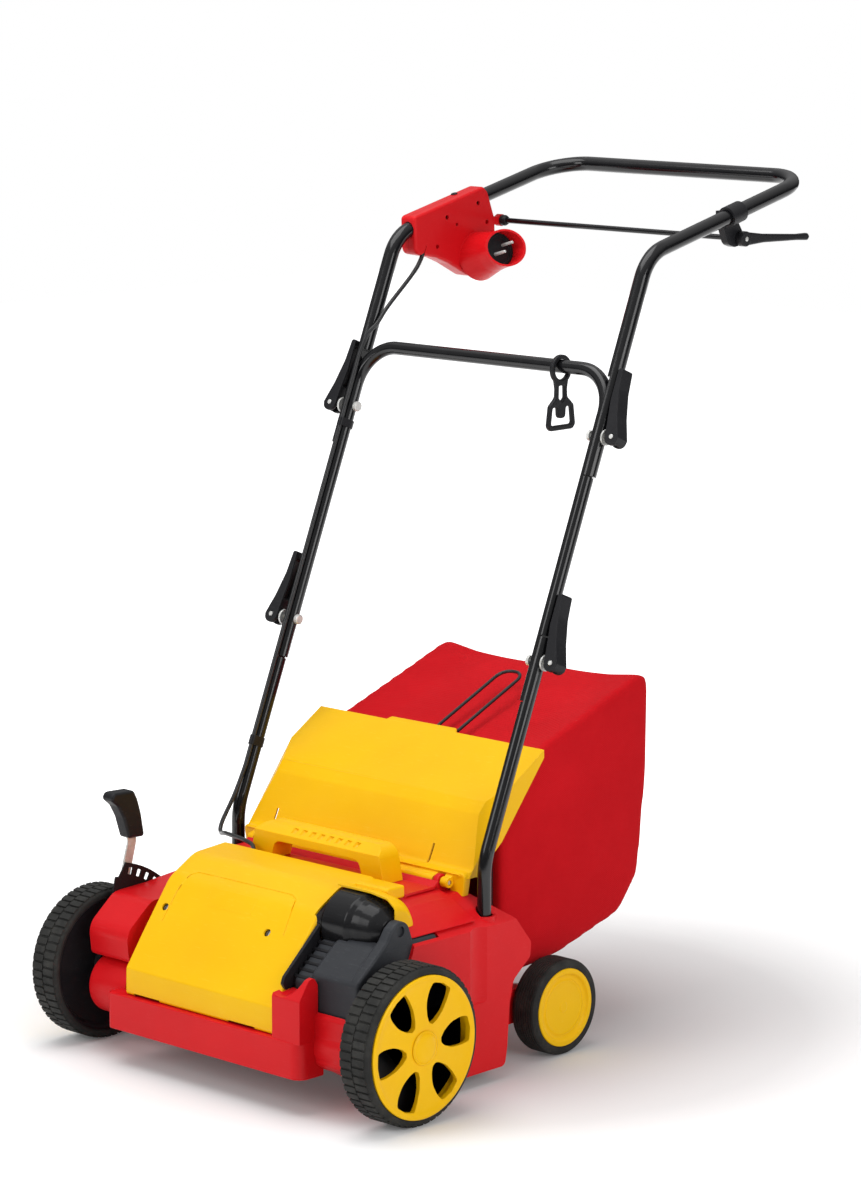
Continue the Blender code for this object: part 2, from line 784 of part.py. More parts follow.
def chassis(body, finishes):
    low, high = (BUMPER_LEFT, BUMPER_Y, BUMPER_BOTTOM), (BUMPER_HALF, -0.0355, BUMPER_TOP)
    shell = soften(block(low, high), 0.004, 1, 60)
    low = (BUMPER_LEFT + 0.005, BUMPER_Y + WALL, BUMPER_BOTTOM - 0.01)
    shell = cut(shell, block(low, (BUMPER_HALF - 0.005, 0.0, BUMPER_TOP - WALL)))
    tunnel = plate(strip(TUNNEL_PATH + DECK_PATH, WALL), -BUMPER_HALF + 0.0006, BUMPER_HALF - 0.0006)
    behind_post = block((0.1550, -0.0456, 0.1140), (BELT_COVER_X, -0.0430, 0.3000))
    right_box = cut(side_box(1), belt_room(), behind_post)
    for side in (-1, 1):
        ends = sorted((side * (MOUTH_HALF + 0.0010), side * (BOX_IN_X + 0.0050)))
        ledge = block((ends[0], 0.2200, 0.1440), (ends[1], MOUTH_Y - FRAME_WIRE_R - GAP, 0.1570))
        shell = join(shell, ledge)
    shell = join(shell, cut(tunnel, belt_room(0.0003)), side_box(-1), right_box)
    post_outline = [
        (BUMPER_Y + 0.0012, 0.0875),
        (BUMPER_Y + 0.0012, 0.1390),
        (-0.0600, 0.1620),
        (-0.0510, 0.1640),
        (-0.0452, 0.1540),
        (-0.0452, 0.0875),
    ]
    post_path = fillet(post_outline, [0, 0.004, 0.006, 0.004, 0.003, 0], 2, True)
    post = plate(post_path, 0.1170, BUMPER_HALF - 0.0008)
    post = cut(post, block((0.1100, -0.0633, 0.1402), (0.1251, -0.0300, 0.2000)))
    shell = join(shell, post)
    left_boss = cross_rod(-BOX_OUT_X - 0.0002, -BOX_IN_X - 0.001, PIVOT_Y, PIVOT_Z, LEFT_BOSS_R, 24)
    right_boss = cross_rod(BOX_IN_X + 0.001, WEB_X - 0.0005, PIVOT_Y, PIVOT_Z, RIGHT_BOSS_R, 24)
    shell = join(shell, left_boss, right_boss)
    floor = strip([(0.146, 0.027), (0.160, 0.036), (0.238, 0.078)], -WALL)
    shell = join(shell, plate(floor, -BOX_IN_X - 0.002, BOX_IN_X + 0.002))
    arm_outline = [
        (0.190, 0.040),
        (0.190, 0.088),
        (0.300, 0.084),
        (0.338, 0.076),
        (0.345, 0.056),
        (0.330, 0.044),
    ]
    arm_path = fillet(arm_outline, [0, 0, 0.02, 0.008, 0.008, 0.008], 2, True)
    lug_outline = arc((FLAP_Y, FLAP_Z), 0.009, 200, -20, 6) + [(0.190, 0.205), (0.150, 0.205)]
    for side in (-1, 1):
        arm = plate(arm_path, *sorted((side * ARM_IN_X, side * ARM_OUT_X)))
        lug = plate(lug_outline, *sorted((side * LUG_X, side * (LUG_X + LUG_T))))
        corners = box_corners(side, (LUG_X + 0.001, 0.152, 0.2005), (BOX_IN_X + 0.004, 0.188, 0.212))
        bridge = block(*corners)
        foot = Vector((side * LOW_X, FOOT_Y, FOOT_Z))
        socket = rod(foot - SOCKET_BELOW, foot + SOCKET_ABOVE, LOW_TUBE_R + 0.004, 16)
        shell = join(shell, arm, lug, bridge, socket)
        pocket = rod(foot - Vector((0, 0, GAP)), foot + SOCKET_ABOVE * 3, LOW_TUBE_R + 0.0009, 16)
        seat_r = hole_radius(BEARING_R, 20)
        bearing_seat = cross_rod(side * 0.150, side * 0.172, ROLLER_Y, ROLLER_Z, seat_r, 20)
        axle_hole = cross_rod(side * 0.140, side * 0.178, REAR_Y, REAR_R, REAR_AXLE_R + GAP, 12)
        rod_hole = cross_rod(side * 0.140, side * 0.1595, FLAP_Y, FLAP_Z, FLAP_ROD_R + GAP, 10)
        shell = cut(shell, pocket, bearing_seat, axle_hole, rod_hole)
    crank_bore = rod((-0.250, PIVOT_Y, PIVOT_Z), (0.250, PIVOT_Y, PIVOT_Z), AXLE_R + 0.0005, 16)
    shell = cut(shell, crank_bore)
    node(shell, "chassis", finishes["red"], body)


def box_corners(side, low, high):
    first, last = sorted((side * low[0], side * high[0]))
    return (first, low[1], low[2]), (last, high[1], high[2])


COVER_PATH = fillet(
    [
        (-0.0700, BUMPER_TOP + GAP),
        (-0.0685, 0.138),
        (-0.0405, 0.1625),
        (0.0040, 0.222),
        (0.0450, 0.245),
        (0.0960, 0.2485),
    ],
    [0, 0.010, 0.012, 0.030, 0.030, 0],
    3,
)


def motor_cover(body, finishes):
    clear_r = TUNNEL_R + 0.0006
    foot = BUMPER_TOP + GAP
    low_edge = arc((ROLLER_Y, ROLLER_Z), clear_r, 86, 157, 7) + [(-0.0300, 0.1008), (-0.0470, foot)]
    back = BACK_WALL_Y - GAP
    outline = COVER_PATH + [(back, 0.2465), (back, 0.1450), (back - 0.0022, 0.1310)] + low_edge
    solid = soften(plate(outline, COVER_LEFT_X, COVER_RIGHT_X), 0.003, 1, 80)
    inner = strip(COVER_PATH, SHELL)[len(COVER_PATH):]
    hollow = [(0.1100, 0.2350)] + inner[1:-1] + [(-0.0675, 0.0800), (0.1100, 0.0500)]
    shell = cut(solid, plate(hollow, COVER_LEFT_X + SHELL, COVER_RIGHT_X - SHELL))
    edge = COVER_RIGHT_X - 0.001
    hood_outline = [(edge, 0.180), (edge, 0.2470), (0.168, 0.2470), (0.200, 0.228), (COVER_HOOD_X, 0.200)]
    hood_path = fillet(hood_outline, [0, 0, 0.040, 0.012, 0], 3, True)
    hood = plate(hood_path, -0.0940, -0.0560, ALONG_Y)
    inner_hood = plate(inset(hood_path, SHELL), -0.0915, -0.0400, ALONG_Y)
    hood = cut(hood, inner_hood, block((0.115, 0.04, 0.15), (0.22, 0.11, 0.203)))
    shell = join(shell, hood)
    cap_r = hole_radius(END_CAP_R, 32) + 0.0012
    room = rod((COVER_RIGHT_X - 0.006, MOTOR_Y, MOTOR_Z), (0.1735, MOTOR_Y, MOTOR_Z), cap_r, 32)
    tower = rod((TOWER_X - 0.0012, MOTOR_Y, MOTOR_Z), (0.215, MOTOR_Y, MOTOR_Z), TOWER_R + 0.0012, 32)
    cable = lower_cable_path()[-4:]
    cable_hole = tube(cable + [cable[-1] * 2 - cable[-2]], CABLE_R + 2 * GAP, 1)
    shell = cut(shell, room, tower, cable_hole)
    normal = cover_slope_normal()
    for x in SCREW_XS:
        spot = Vector((x, *SCREW_SPOT))
        shell = cut(shell, rod(spot - normal * 0.01, spot + normal * 0.004, 0.0026, 10))
    node(shell, "motor_cover", finishes["yellow"], body)


SCREW_XS = (-0.124, 0.052)
SCREW_SPOT = (-0.0190, 0.19125)


def cover_slope_normal():
    run = Vector((0, 0.0040 + 0.0405, 0.222 - 0.1625)).normalized()
    return Vector((0, -run.z, run.y))


def cover_screws(body, finishes):
    normal = cover_slope_normal()
    for number, x in enumerate(SCREW_XS, 1):
        spot = Vector((x, *SCREW_SPOT))
        head = rod(spot + normal * GAP, spot + normal * 0.0022, 0.0042, 12, 0.0030)
        shank = rod(spot - normal * 0.008, spot + normal * 0.001, 0.0023, 10)
        node(join(head, shank), f"cover_screw_{number}", finishes["dark"], body)


def carry_handle(body, finishes):
    foot = 0.022
    top = CARRY_TOP
    outline = [
        (-CARRY_HALF - 0.006, DECK_Z + GAP),
        (-CARRY_HALF + 0.004, top),
        (CARRY_HALF - 0.004, top),
        (CARRY_HALF + 0.006, DECK_Z + GAP),
        (CARRY_HALF - foot, DECK_Z + GAP),
        (CARRY_HALF - foot - 0.006, top - CARRY_BAR),
        (-CARRY_HALF + foot + 0.006, top - CARRY_BAR),
        (-CARRY_HALF + foot, DECK_Z + GAP),
    ]
    path = fillet(outline, [0, 0.012, 0.012, 0, 0, 0.008, 0.008, 0], 3, True)
    handle = plate(path, -CARRY_Y - CARRY_DEPTH / 2, -CARRY_Y + CARRY_DEPTH / 2, ALONG_Y)
    node(soften(handle, 0.003, 2, 60), "carry_handle", finishes["yellow"], body)


def motor(body, rotor_body, finishes):
    stator_profile = [
        (STATOR_R - 0.006, STATOR_FROM_X),
        (STATOR_R, STATOR_FROM_X + 0.006),
        (STATOR_R, STATOR_TO_X - 0.006),
        (STATOR_R - 0.006, STATOR_TO_X),
        (0.0055, STATOR_TO_X),
        (0.0055, STATOR_TO_X - 0.008),
        (0.0232, STATOR_TO_X - 0.010),
        (0.0232, STATOR_FROM_X + 0.010),
        (0.0055, STATOR_FROM_X + 0.008),
        (0.0055, STATOR_FROM_X),
    ]
    stator = turned(stator_profile, 24, 1, MOTOR_Y, MOTOR_Z)
    node(stator, "motor_stator", finishes["dark"], body)
    rotor_profile = [
        (0, STATOR_FROM_X - 0.004),
        (0.005, STATOR_FROM_X - 0.004),
        (0.005, STATOR_FROM_X + 0.016),
        (0.0215, STATOR_FROM_X + 0.018),
        (0.0215, STATOR_TO_X - 0.018),
        (0.005, STATOR_TO_X - 0.016),
        (0.005, PULLEY_X + PULLEY_W + 0.003),
        (0, PULLEY_X + PULLEY_W + 0.003),
    ]
    rotor = turned(rotor_profile, 16, 1, MOTOR_Y, MOTOR_Z)
    node(rotor, "motor_rotor", finishes["copper"], rotor_body)
    cradle_outline = [(0.020, 0.105), (0.020, 0.185), (0.060, 0.185), (0.060, 0.105)]
    cradle = plate(cradle_outline, -0.050, 0.080)
    seat = rod((-0.2, MOTOR_Y, MOTOR_Z), (0.2, MOTOR_Y, MOTOR_Z), hole_radius(STATOR_R, 24), 24)
    crown = rod((-0.2, ROLLER_Y, ROLLER_Z), (0.2, ROLLER_Y, ROLLER_Z), TUNNEL_R + GAP, 64)
    window = block((-0.044, 0.0, 0.130), (-0.004, 0.1, 0.158))
    window_2 = block((0.034, 0.0, 0.130), (0.074, 0.1, 0.158))
    node(cut(cradle, seat, crown, window, window_2), "motor_cradle", finishes["grey"], body)
    cap_profile = [
        (0, END_CAP_TO_X),
        (END_CAP_R - 0.016, END_CAP_TO_X - 0.001),
        (END_CAP_R - 0.006, END_CAP_TO_X - 0.005),
        (END_CAP_R, END_CAP_TO_X - 0.014),
        (END_CAP_R, END_CAP_X),
        (END_CAP_R - SHELL, END_CAP_X),
        (END_CAP_R - SHELL, END_CAP_TO_X - 0.016),
        (END_CAP_R - SHELL - 0.005, END_CAP_TO_X - SHELL - 0.005),
        (END_CAP_R - 0.017, END_CAP_TO_X - SHELL - 0.001),
        (0, END_CAP_TO_X - SHELL),
    ]
    cap = turned(cap_profile, 32, 1, MOTOR_Y, MOTOR_Z)
    shaft_hole = rod((0.15, MOTOR_Y, MOTOR_Z), (0.20, MOTOR_Y, MOTOR_Z), 0.0065, 16)
    node(cut(cap, shaft_hole), "motor_end_cap", finishes["black"], body)


def vent_outline(out):
    """The vent plate beside the motor cover: it follows the cover's edge, moved outwards."""
    steep = [(-0.0560, 0.1425), (-0.0590 - out, 0.1500), (-0.0560 - out, 0.1560 + out)]
    return steep + [(0.0060, 0.2130 + out), (0.0260, 0.2130), (0.0260, 0.1425)]


def belt_cover(body, finishes):
    low_edge = 0.1142
    high = BELT_COVER_X
    box_outline = [
        (-0.0430, low_edge),
        (-0.0410, 0.1640),
        (0.0000, 0.1975),
        (0.0300, 0.2005),
        (0.0927, 0.2000),
        (0.0927, low_edge),
    ]
    box_path = fillet(box_outline, [0, 0.006, 0.010, 0.010, 0.004, 0], 2, True)
    cover = plate(box_path, BELT_BOX_X, high)
    tower_path = arc((MOTOR_Y, MOTOR_Z), TOWER_R, -8, 188, 14)
    tower_path += [(MOTOR_Y - TOWER_R, 0.150), (MOTOR_Y + TOWER_R, 0.150)]
    tower = plate(tower_path, TOWER_X, high - 0.0006)
    step_foot = low_edge + 0.0004
    step_outline = [
        (-0.0425, step_foot),
        (-0.0440, 0.1540),
        (0.0030, 0.1930),
        (0.0905, 0.1950),
        (0.0905, step_foot),
    ]
    step = plate(step_outline, 0.1230, BELT_BOX_X + 0.002)
    vent = plate(vent_outline(0.002), VENT_X, VENT_X + VENT_T)
    vent_back = plate(vent_outline(-0.006), VENT_X + 0.002, 0.1245)
    cover = join(cover, tower, step, vent, vent_back)
    for k in range(5):
        y = -0.0360 + 0.0095 * k
        z = 0.1640 + 0.0095 * k * 0.83
        rib = [(y, z - 0.012), (y, z), (y + 0.0035, z + 0.0029), (y + 0.0035, z - 0.012)]
        cover = join(cover, plate(rib, VENT_X + 0.003, BELT_BOX_X + 0.001))
    room = plate(inset(box_path, SHELL), BELT_BOX_X + SHELL, high - SHELL)
    tower_room = plate(inset(tower_path, SHELL), TOWER_X + SHELL, high - SHELL - 0.0006)
    under = block((BELT_BOX_X + SHELL + 0.0005, -0.0400, 0.100), (high - SHELL - 0.0005, 0.0895, 0.125))
    throat_low = (TOWER_X + SHELL + 0.0003, MOTOR_Y - 0.022, 0.145)
    throat = block(throat_low, (high - SHELL - 0.0009, MOTOR_Y + 0.022, 0.206))
    step_room = block((0.1255, -0.0400, 0.100), (BELT_BOX_X + SHELL + 0.002, 0.0880, 0.1500))
    belt_gap = block((PULLEY_X - 0.003, 0.060, 0.100), (PULLEY_X + PULLEY_W + 0.003, 0.100, 0.140))
    cap_r = hole_radius(END_CAP_R, 32)
    cap_room = rod((0.10, MOTOR_Y, MOTOR_Z), (END_CAP_TO_X + 0.0009, MOTOR_Y, MOTOR_Z), cap_r, 32)
    shaft_hole = rod((0.10, MOTOR_Y, MOTOR_Z), (TOWER_X + 0.010, MOTOR_Y, MOTOR_Z), 0.0085, 16)
    blades = rod((0.10, ROLLER_Y, ROLLER_Z), (0.150, ROLLER_Y, ROLLER_Z), TIP_R + 0.0025, 32)
    cover = cut(cover, room, tower_room, throat, under, step_room, belt_gap, cap_room, shaft_hole, blades)
    node(cover, "belt_cover", finishes["grey"], body)


def blade_roller(body, finishes):
    roller = cross_rod(-0.170, PULLEY_X + PULLEY_W + 0.003, ROLLER_Y, ROLLER_Z, SHAFT_R, 12)
    for k in range(BLADE_COUNT):
        x = -BLADE_SPAN + 2 * BLADE_SPAN * k / (BLADE_COUNT - 1)
        twist = 30.0 * k
        outline = []
        for tooth in range(3):
            base = twist + 120 * tooth
            outline += arc((ROLLER_Y, ROLLER_Z), BLADE_ROOT_R, base - 40, base - 14, 1)
            outline += arc((ROLLER_Y, ROLLER_Z), TIP_R, base - 2, base + 4, 1)
        roller = join(roller, plate(outline, x - BLADE_T / 2, x + BLADE_T / 2))
    node(roller, "blade_roller", finishes["dark"], body)


def bearings(body, finishes):
    for side, label in ((-1, "left"), (1, "right")):
        bore = SHAFT_R + PIN_PLAY
        outer_x = BEARING_X + BEARING_W
        profile = [(bore, BEARING_X), (BEARING_R, BEARING_X), (BEARING_R, outer_x), (bore, outer_x)]
        ring = turned(profile, 20, side, ROLLER_Y, ROLLER_Z)
        node(ring, f"roller_bearing_{label}", finishes["steel"], body)


def hull_of_circles(first, radius_1, second, radius_2, steps=8):
    """The outline of a band laid round two circles."""
    between = Vector(second) - Vector(first)
    heading = math.degrees(math.atan2(between.y, between.x))
    lean = math.degrees(math.asin((radius_1 - radius_2) / between.length))
    outline = arc(first, radius_1, heading + 90 - lean, heading + 270 + lean, steps)
    return outline + arc(second, radius_2, heading - 90 + lean, heading + 90 - lean, steps)


def belt_drive(body, rotor_body, roller_body, finishes):
    low = PULLEY_X
    high = PULLEY_X + PULLEY_W
    small_profile = [(0.0053, low), (MOTOR_PULLEY_R, low), (MOTOR_PULLEY_R, high), (0.0053, high)]
    small = turned(small_profile, 20, 1, MOTOR_Y, MOTOR_Z)
    node(small, "motor_pulley", finishes["steel"], rotor_body)
    bore = SHAFT_R + GAP
    large_profile = [(bore, low), (ROLLER_PULLEY_R, low), (ROLLER_PULLEY_R, high), (bore, high)]
    large = turned(large_profile, 28, 1, ROLLER_Y, ROLLER_Z)
    node(large, "roller_pulley", finishes["grey"], roller_body)
    motor_spot, roller_spot = (MOTOR_Y, MOTOR_Z), (ROLLER_Y, ROLLER_Z)
    lift = 1.012
    small_r, large_r = MOTOR_PULLEY_R * lift + GAP, ROLLER_PULLEY_R * lift + GAP
    inner = hull_of_circles(motor_spot, small_r, roller_spot, large_r, 12)
    outer = hull_of_circles(motor_spot, small_r + BELT_T, roller_spot, large_r + BELT_T, 12)
    middle = (low + high) / 2
    belt = plate([outer, inner], middle - BELT_W / 2, middle + BELT_W / 2)
    node(belt, "drive_belt", finishes["rubber"], body)


def rear_axle(body, finishes):
    end = REAR_OUT_X - 0.0065
    axle = rod((-end, REAR_Y, REAR_R), (end, REAR_Y, REAR_R), REAR_AXLE_R, 12)
    node(axle, "rear_axle", finishes["steel"], body)


FLAP_TOP = fillet(
    [(0.1740, 0.2480), (0.1880, 0.2500), (0.2180, 0.3130), (0.2300, 0.3270), (0.3150, 0.3790)],
    [0, 0.008, 0.012, 0.012, 0],
    2,
)
FLAP_EDGE = [(0.3150, 0.3690), (0.2400, 0.2780), (0.1960, 0.2430), (0.1780, 0.2430)]


def rear_flap(body, finishes):
    outline = FLAP_TOP + FLAP_EDGE
    solid = soften(plate(outline, -FLAP_HALF, FLAP_HALF), 0.003, 1, 80)
    under = [point for point in strip(FLAP_TOP, SHELL)[len(FLAP_TOP):] if 0.1915 < point[0] < 0.311]
    under = [(0.3125, 0.3745)] + under + [(under[-1][0], 0.2300), (0.2600, 0.2500), (0.3125, 0.3300)]
    shell = cut(solid, plate(under, -FLAP_HALF + SHELL, FLAP_HALF - SHELL))
    tab = [(-0.0560, -0.0065), (-0.0580, 0.0018), (-0.0550, 0.0090)]
    tab += [(-x, y) for x, y in reversed(tab)]
    slope = math.atan2(0.0520, 0.0850)
    lift = Matrix.Translation((0, 0.3146, 0.3780)) @ Matrix.Rotation(slope, 4, "X")
    tab_plate = plate(tab, -0.0030, -0.0006, lift)
    ear = arc((FLAP_Y, FLAP_Z), 0.0065, 75, 330, 9) + [(0.1820, 0.2462), (0.1790, 0.2480)]
    knuckles = [plate(ear, -0.110, 0.110)]
    outer_lug_x = LUG_X + LUG_T
    for side in (-1, 1):
        knuckles.append(plate(ear, *sorted((side * (outer_lug_x + 0.001), side * (outer_lug_x + 0.012)))))
    shell = join(shell, tab_plate, *knuckles)
    bore = rod((-0.2, FLAP_Y, FLAP_Z), (0.2, FLAP_Y, FLAP_Z), FLAP_ROD_R + PIN_PLAY, 12)
    node(cut(shell, bore), "rear_flap", finishes["yellow"], body)


def flap_rod(body, finishes):
    end = LUG_X + LUG_T + 0.0105
    node(cross_rod(-end, end, FLAP_Y, FLAP_Z, FLAP_ROD_R, 10), "flap_rod", finishes["steel"], body)


BAG_OUTLINE = fillet(
    [
        (0.2620, 0.0980),
        (0.2620, 0.2750),
        (0.3210, 0.3700),
        (0.5390, 0.4470),
        (0.5360, 0.3180),
        (0.5210, 0.1850),
        (0.4860, 0.1400),
        (0.3660, 0.1080),
    ],
    [0.004, 0.010, 0.006, 0.007, 0, 0.030, 0.030, 0.02],
    3,
    True,
)


def catcher_bag(body, finishes):
    solid = soften(plate(BAG_OUTLINE, -BAG_HALF, BAG_HALF), 0.005, 2, 60)
    room = plate(inset(BAG_OUTLINE, BAG_WALL), -BAG_HALF + BAG_WALL, BAG_HALF - BAG_WALL)
    mouth = block((-MOUTH_HALF, 0.240, 0.116), (MOUTH_HALF, 0.290, 0.262))
    node(cut(solid, join(room, mouth)), "catcher_bag", finishes["fabric"], body)


def bag_frame(body, finishes):
    plane_y = MOUTH_Y
    half = MOUTH_HALF + 0.004
    low, high = 0.111, 0.268
    corners = [(-half, plane_y, low), (half, plane_y, low), (half, plane_y, high), (-half, plane_y, high)]
    frame = tube(fillet(corners, 0.012, 3, True), FRAME_WIRE_R, 1, True)
    node(frame, "bag_frame", finishes["wire"], body)
    slope = Vector((0, 0.2180, 0.0770)).normalized()
    up = Vector((0, -slope.z, slope.y))
    start = Vector((0, 0.3210, 0.3700)) + slope * 0.012 + up * (LOOP_WIRE_R + GAP)
    reach = slope * 0.135 + up * 0.010
    left, right = Vector((-0.004, 0, 0)), Vector((0.032, 0, 0))
    path = [start + left, start + left + reach, start + right + reach, start + right]
    loop = tube(fillet(path, [0, 0.016, 0.016, 0], 4), LOOP_WIRE_R, 1)
    node(loop, "bag_carry_loop", finishes["wire"], body)


def flat_cutter(pin, below, above, from_x, to_x):
    """A block along the handle past a pin. It takes one side off a tube where it lies flat on the next."""
    corners = []
    for reach, ahead in ((-below, -0.015), (-below, 0.015), (above, 0.015), (above, -0.015)):
        spot = pin + UP_HANDLE * reach + AHEAD_OF_HANDLE * ahead
        corners.append((spot.y, spot.z))
    return plate(corners, *sorted((from_x, to_x)))


def lower_tubes(body, finishes):
    top = LOW_PIN + UP_HANDLE * LOW_TOP_PAST_PIN
    for side, label in ((-1, "left"), (1, "right")):
        x = side * LOW_X
        points = [(x, FOOT_Y, FOOT_Z), (x, FOOT_Y, KNEE_Z), (x, top.y, top.z)]
        pipe = tube(fillet(points, [0, 0.10, 0], 4), LOW_TUBE_R)
        hole = cross_rod(side * 0.15, side * 0.25, LOW_PIN.y, LOW_PIN.z, PIN_R + PIN_PLAY, 10)
        inboard = flat_cutter(LOW_PIN, LAP_BELOW, 0.05, side * 0.190, side * (LAP_X + GAP / 2))
        node(cut(pipe, inboard, hole), f"lower_tube_{label}", finishes["tube"], body)


def middle_frame(body, finishes):
    low = LOW_PIN - UP_HANDLE * MID_BELOW_PIN
    corners = [
        (-MID_X, low.y, low.z),
        (-MID_X, CROSSBAR.y, CROSSBAR.z),
        (MID_X, CROSSBAR.y, CROSSBAR.z),
        (MID_X, low.y, low.z),
    ]
    frame = tube(fillet(corners, [0, MID_CORNER_R, MID_CORNER_R, 0], 5), LOW_TUBE_R)
    for side in (-1, 1):
        faces = side * (LAP_X - GAP / 2), side * 0.230
        frame = cut(frame, flat_cutter(LOW_PIN, LAP_BELOW + 0.01, LAP_ABOVE_LOW_PIN, *faces))
        frame = cut(frame, flat_cutter(UP_PIN, LAP_BELOW, 0.12, *faces))
        for pin in (LOW_PIN, UP_PIN):
            hole = cross_rod(side * 0.16, side * 0.22, pin.y, pin.z, PIN_R + PIN_PLAY, 10)
            frame = cut(frame, hole)
    node(frame, "middle_frame", finishes["tube"], body)


def upper_frame_path():
    low = UP_PIN - UP_HANDLE * UP_BELOW_PIN
    points = [(-LOW_X, low.y, low.z), (-LOW_X, ELBOW.y, ELBOW.z), (-LOW_X, BAR_Y, BAR_Z)]
    points += [(-x, y, z) for x, y, z in reversed(points)]
    return fillet(points, [0, CORNER_R, CORNER_R, CORNER_R, CORNER_R, 0], 5)


def upper_frame(body, finishes):
    frame = tube(upper_frame_path(), UP_TUBE_R)
    for side in (-1, 1):
        hole = cross_rod(side * 0.18, side * 0.25, UP_PIN.y, UP_PIN.z, PIN_R + PIN_PLAY, 10)
        faces = side * 0.190, side * (LAP_X + GAP / 2)
        inboard = flat_cutter(UP_PIN, LAP_BELOW + 0.01, LAP_ABOVE_UP_PIN, *faces)
        frame = cut(frame, inboard, hole)
    node(frame, "upper_frame", finishes["tube"], body)


def cam_clamp(side, pin, label, bolt_body, lever_body, finishes):
    """A bolt through both tubes, with a cross pin at its outer end that the cam lever turns on."""
    centre = Vector((side * CAM_PIN_X, pin.y, pin.z))
    head_x = MID_X - LOW_TUBE_R - GAP
    inner = Vector((side * (head_x - 0.0055), pin.y, pin.z))
    bolt = rod(inner, centre, PIN_R, 10)
    head = rod(inner, (side * head_x, pin.y, pin.z), 0.0062, 12)
    half = AHEAD_OF_HANDLE * (CAM_W / 2 - 0.001)
    cross = rod(centre - half, centre + half, 0.0028, 10)
    washer_x = LOW_X + WIDEST_TUBE_R + GAP
    washer = rod((side * washer_x, pin.y, pin.z), (side * (washer_x + 0.0025), pin.y, pin.z), 0.0098, 16)
    node(join(bolt, head, cross, washer), f"clamp_bolt_{label}", finishes["steel"], bolt_body)
    wide = AHEAD_OF_HANDLE * (CAM_W / 2)
    cam = rod(centre - wide, centre + wide, CAM_R, 16)
    frame = Matrix((
        (side * UP_HANDLE.x, side * 1.0, -AHEAD_OF_HANDLE.x, 0),
        (UP_HANDLE.y, 0, -AHEAD_OF_HANDLE.y, 0),
        (UP_HANDLE.z, 0, -AHEAD_OF_HANDLE.z, 0),
        (0, 0, 0, 1),
    ))
    frame.translation = centre
    outline = [(0, CAM_R - 0.001), (0.026, 0.0000), (CAM_LENGTH, -0.0092), (CAM_LENGTH, -0.0160)]
    outline += [(0.045, -0.0160), (0.014, -0.0118), (0, -CAM_R + 0.0004)]
    grip_path = fillet(outline, [0, 0.02, 0.003, 0.003, 0.01, 0, 0], 2, True)
    grip = plate(grip_path, 0.0004 - CAM_W / 2, CAM_W / 2 - 0.0004, frame)
    lever = soften(join(cam, grip), 0.0012, 1, 60)
    slot_outline = [(-0.03, -0.03), (-0.03, 0.0045), (0.0045, 0.0045), (0.0045, -0.03)]
    slot = plate(slot_outline, -0.0040, 0.0040, frame)
    hole = rod(centre - wide * 1.2, centre + wide * 1.2, 0.0028 + PIN_PLAY, 12)
    node(cut(lever, slot, hole), f"cam_lever_{label}", finishes["black"], lever_body)


BOX_CORNERS = [
    (0.0218, -0.0264),
    (0.0198, 0.0216),
    (0.1508, 0.0536),
    (0.1588, 0.0466),
    (0.1728, 0.0106),
    (0.1748, -0.0514),
    (0.1618, -0.0604),
    (0.1418, -0.0634),
    (0.1218, -0.0604),
    (0.0858, -0.0424),
    (0.0638, -0.0339),
]
BOX_ROUNDING = [0.006, 0.004, 0.004, 0.006, 0.004, 0.006, 0, 0, 0, 0, 0]
BOX_PATH = fillet([by_elbow(*corner) for corner in BOX_CORNERS], BOX_ROUNDING, 2, True)
INLET_AXIS = Vector((0.955, -0.130, 0.260)).normalized()
INLET_TIP = Vector((-0.1280, *by_elbow(0.1267, -0.0181)))
INLET_FOOT = INLET_TIP - INLET_AXIS * INLET_LENGTH


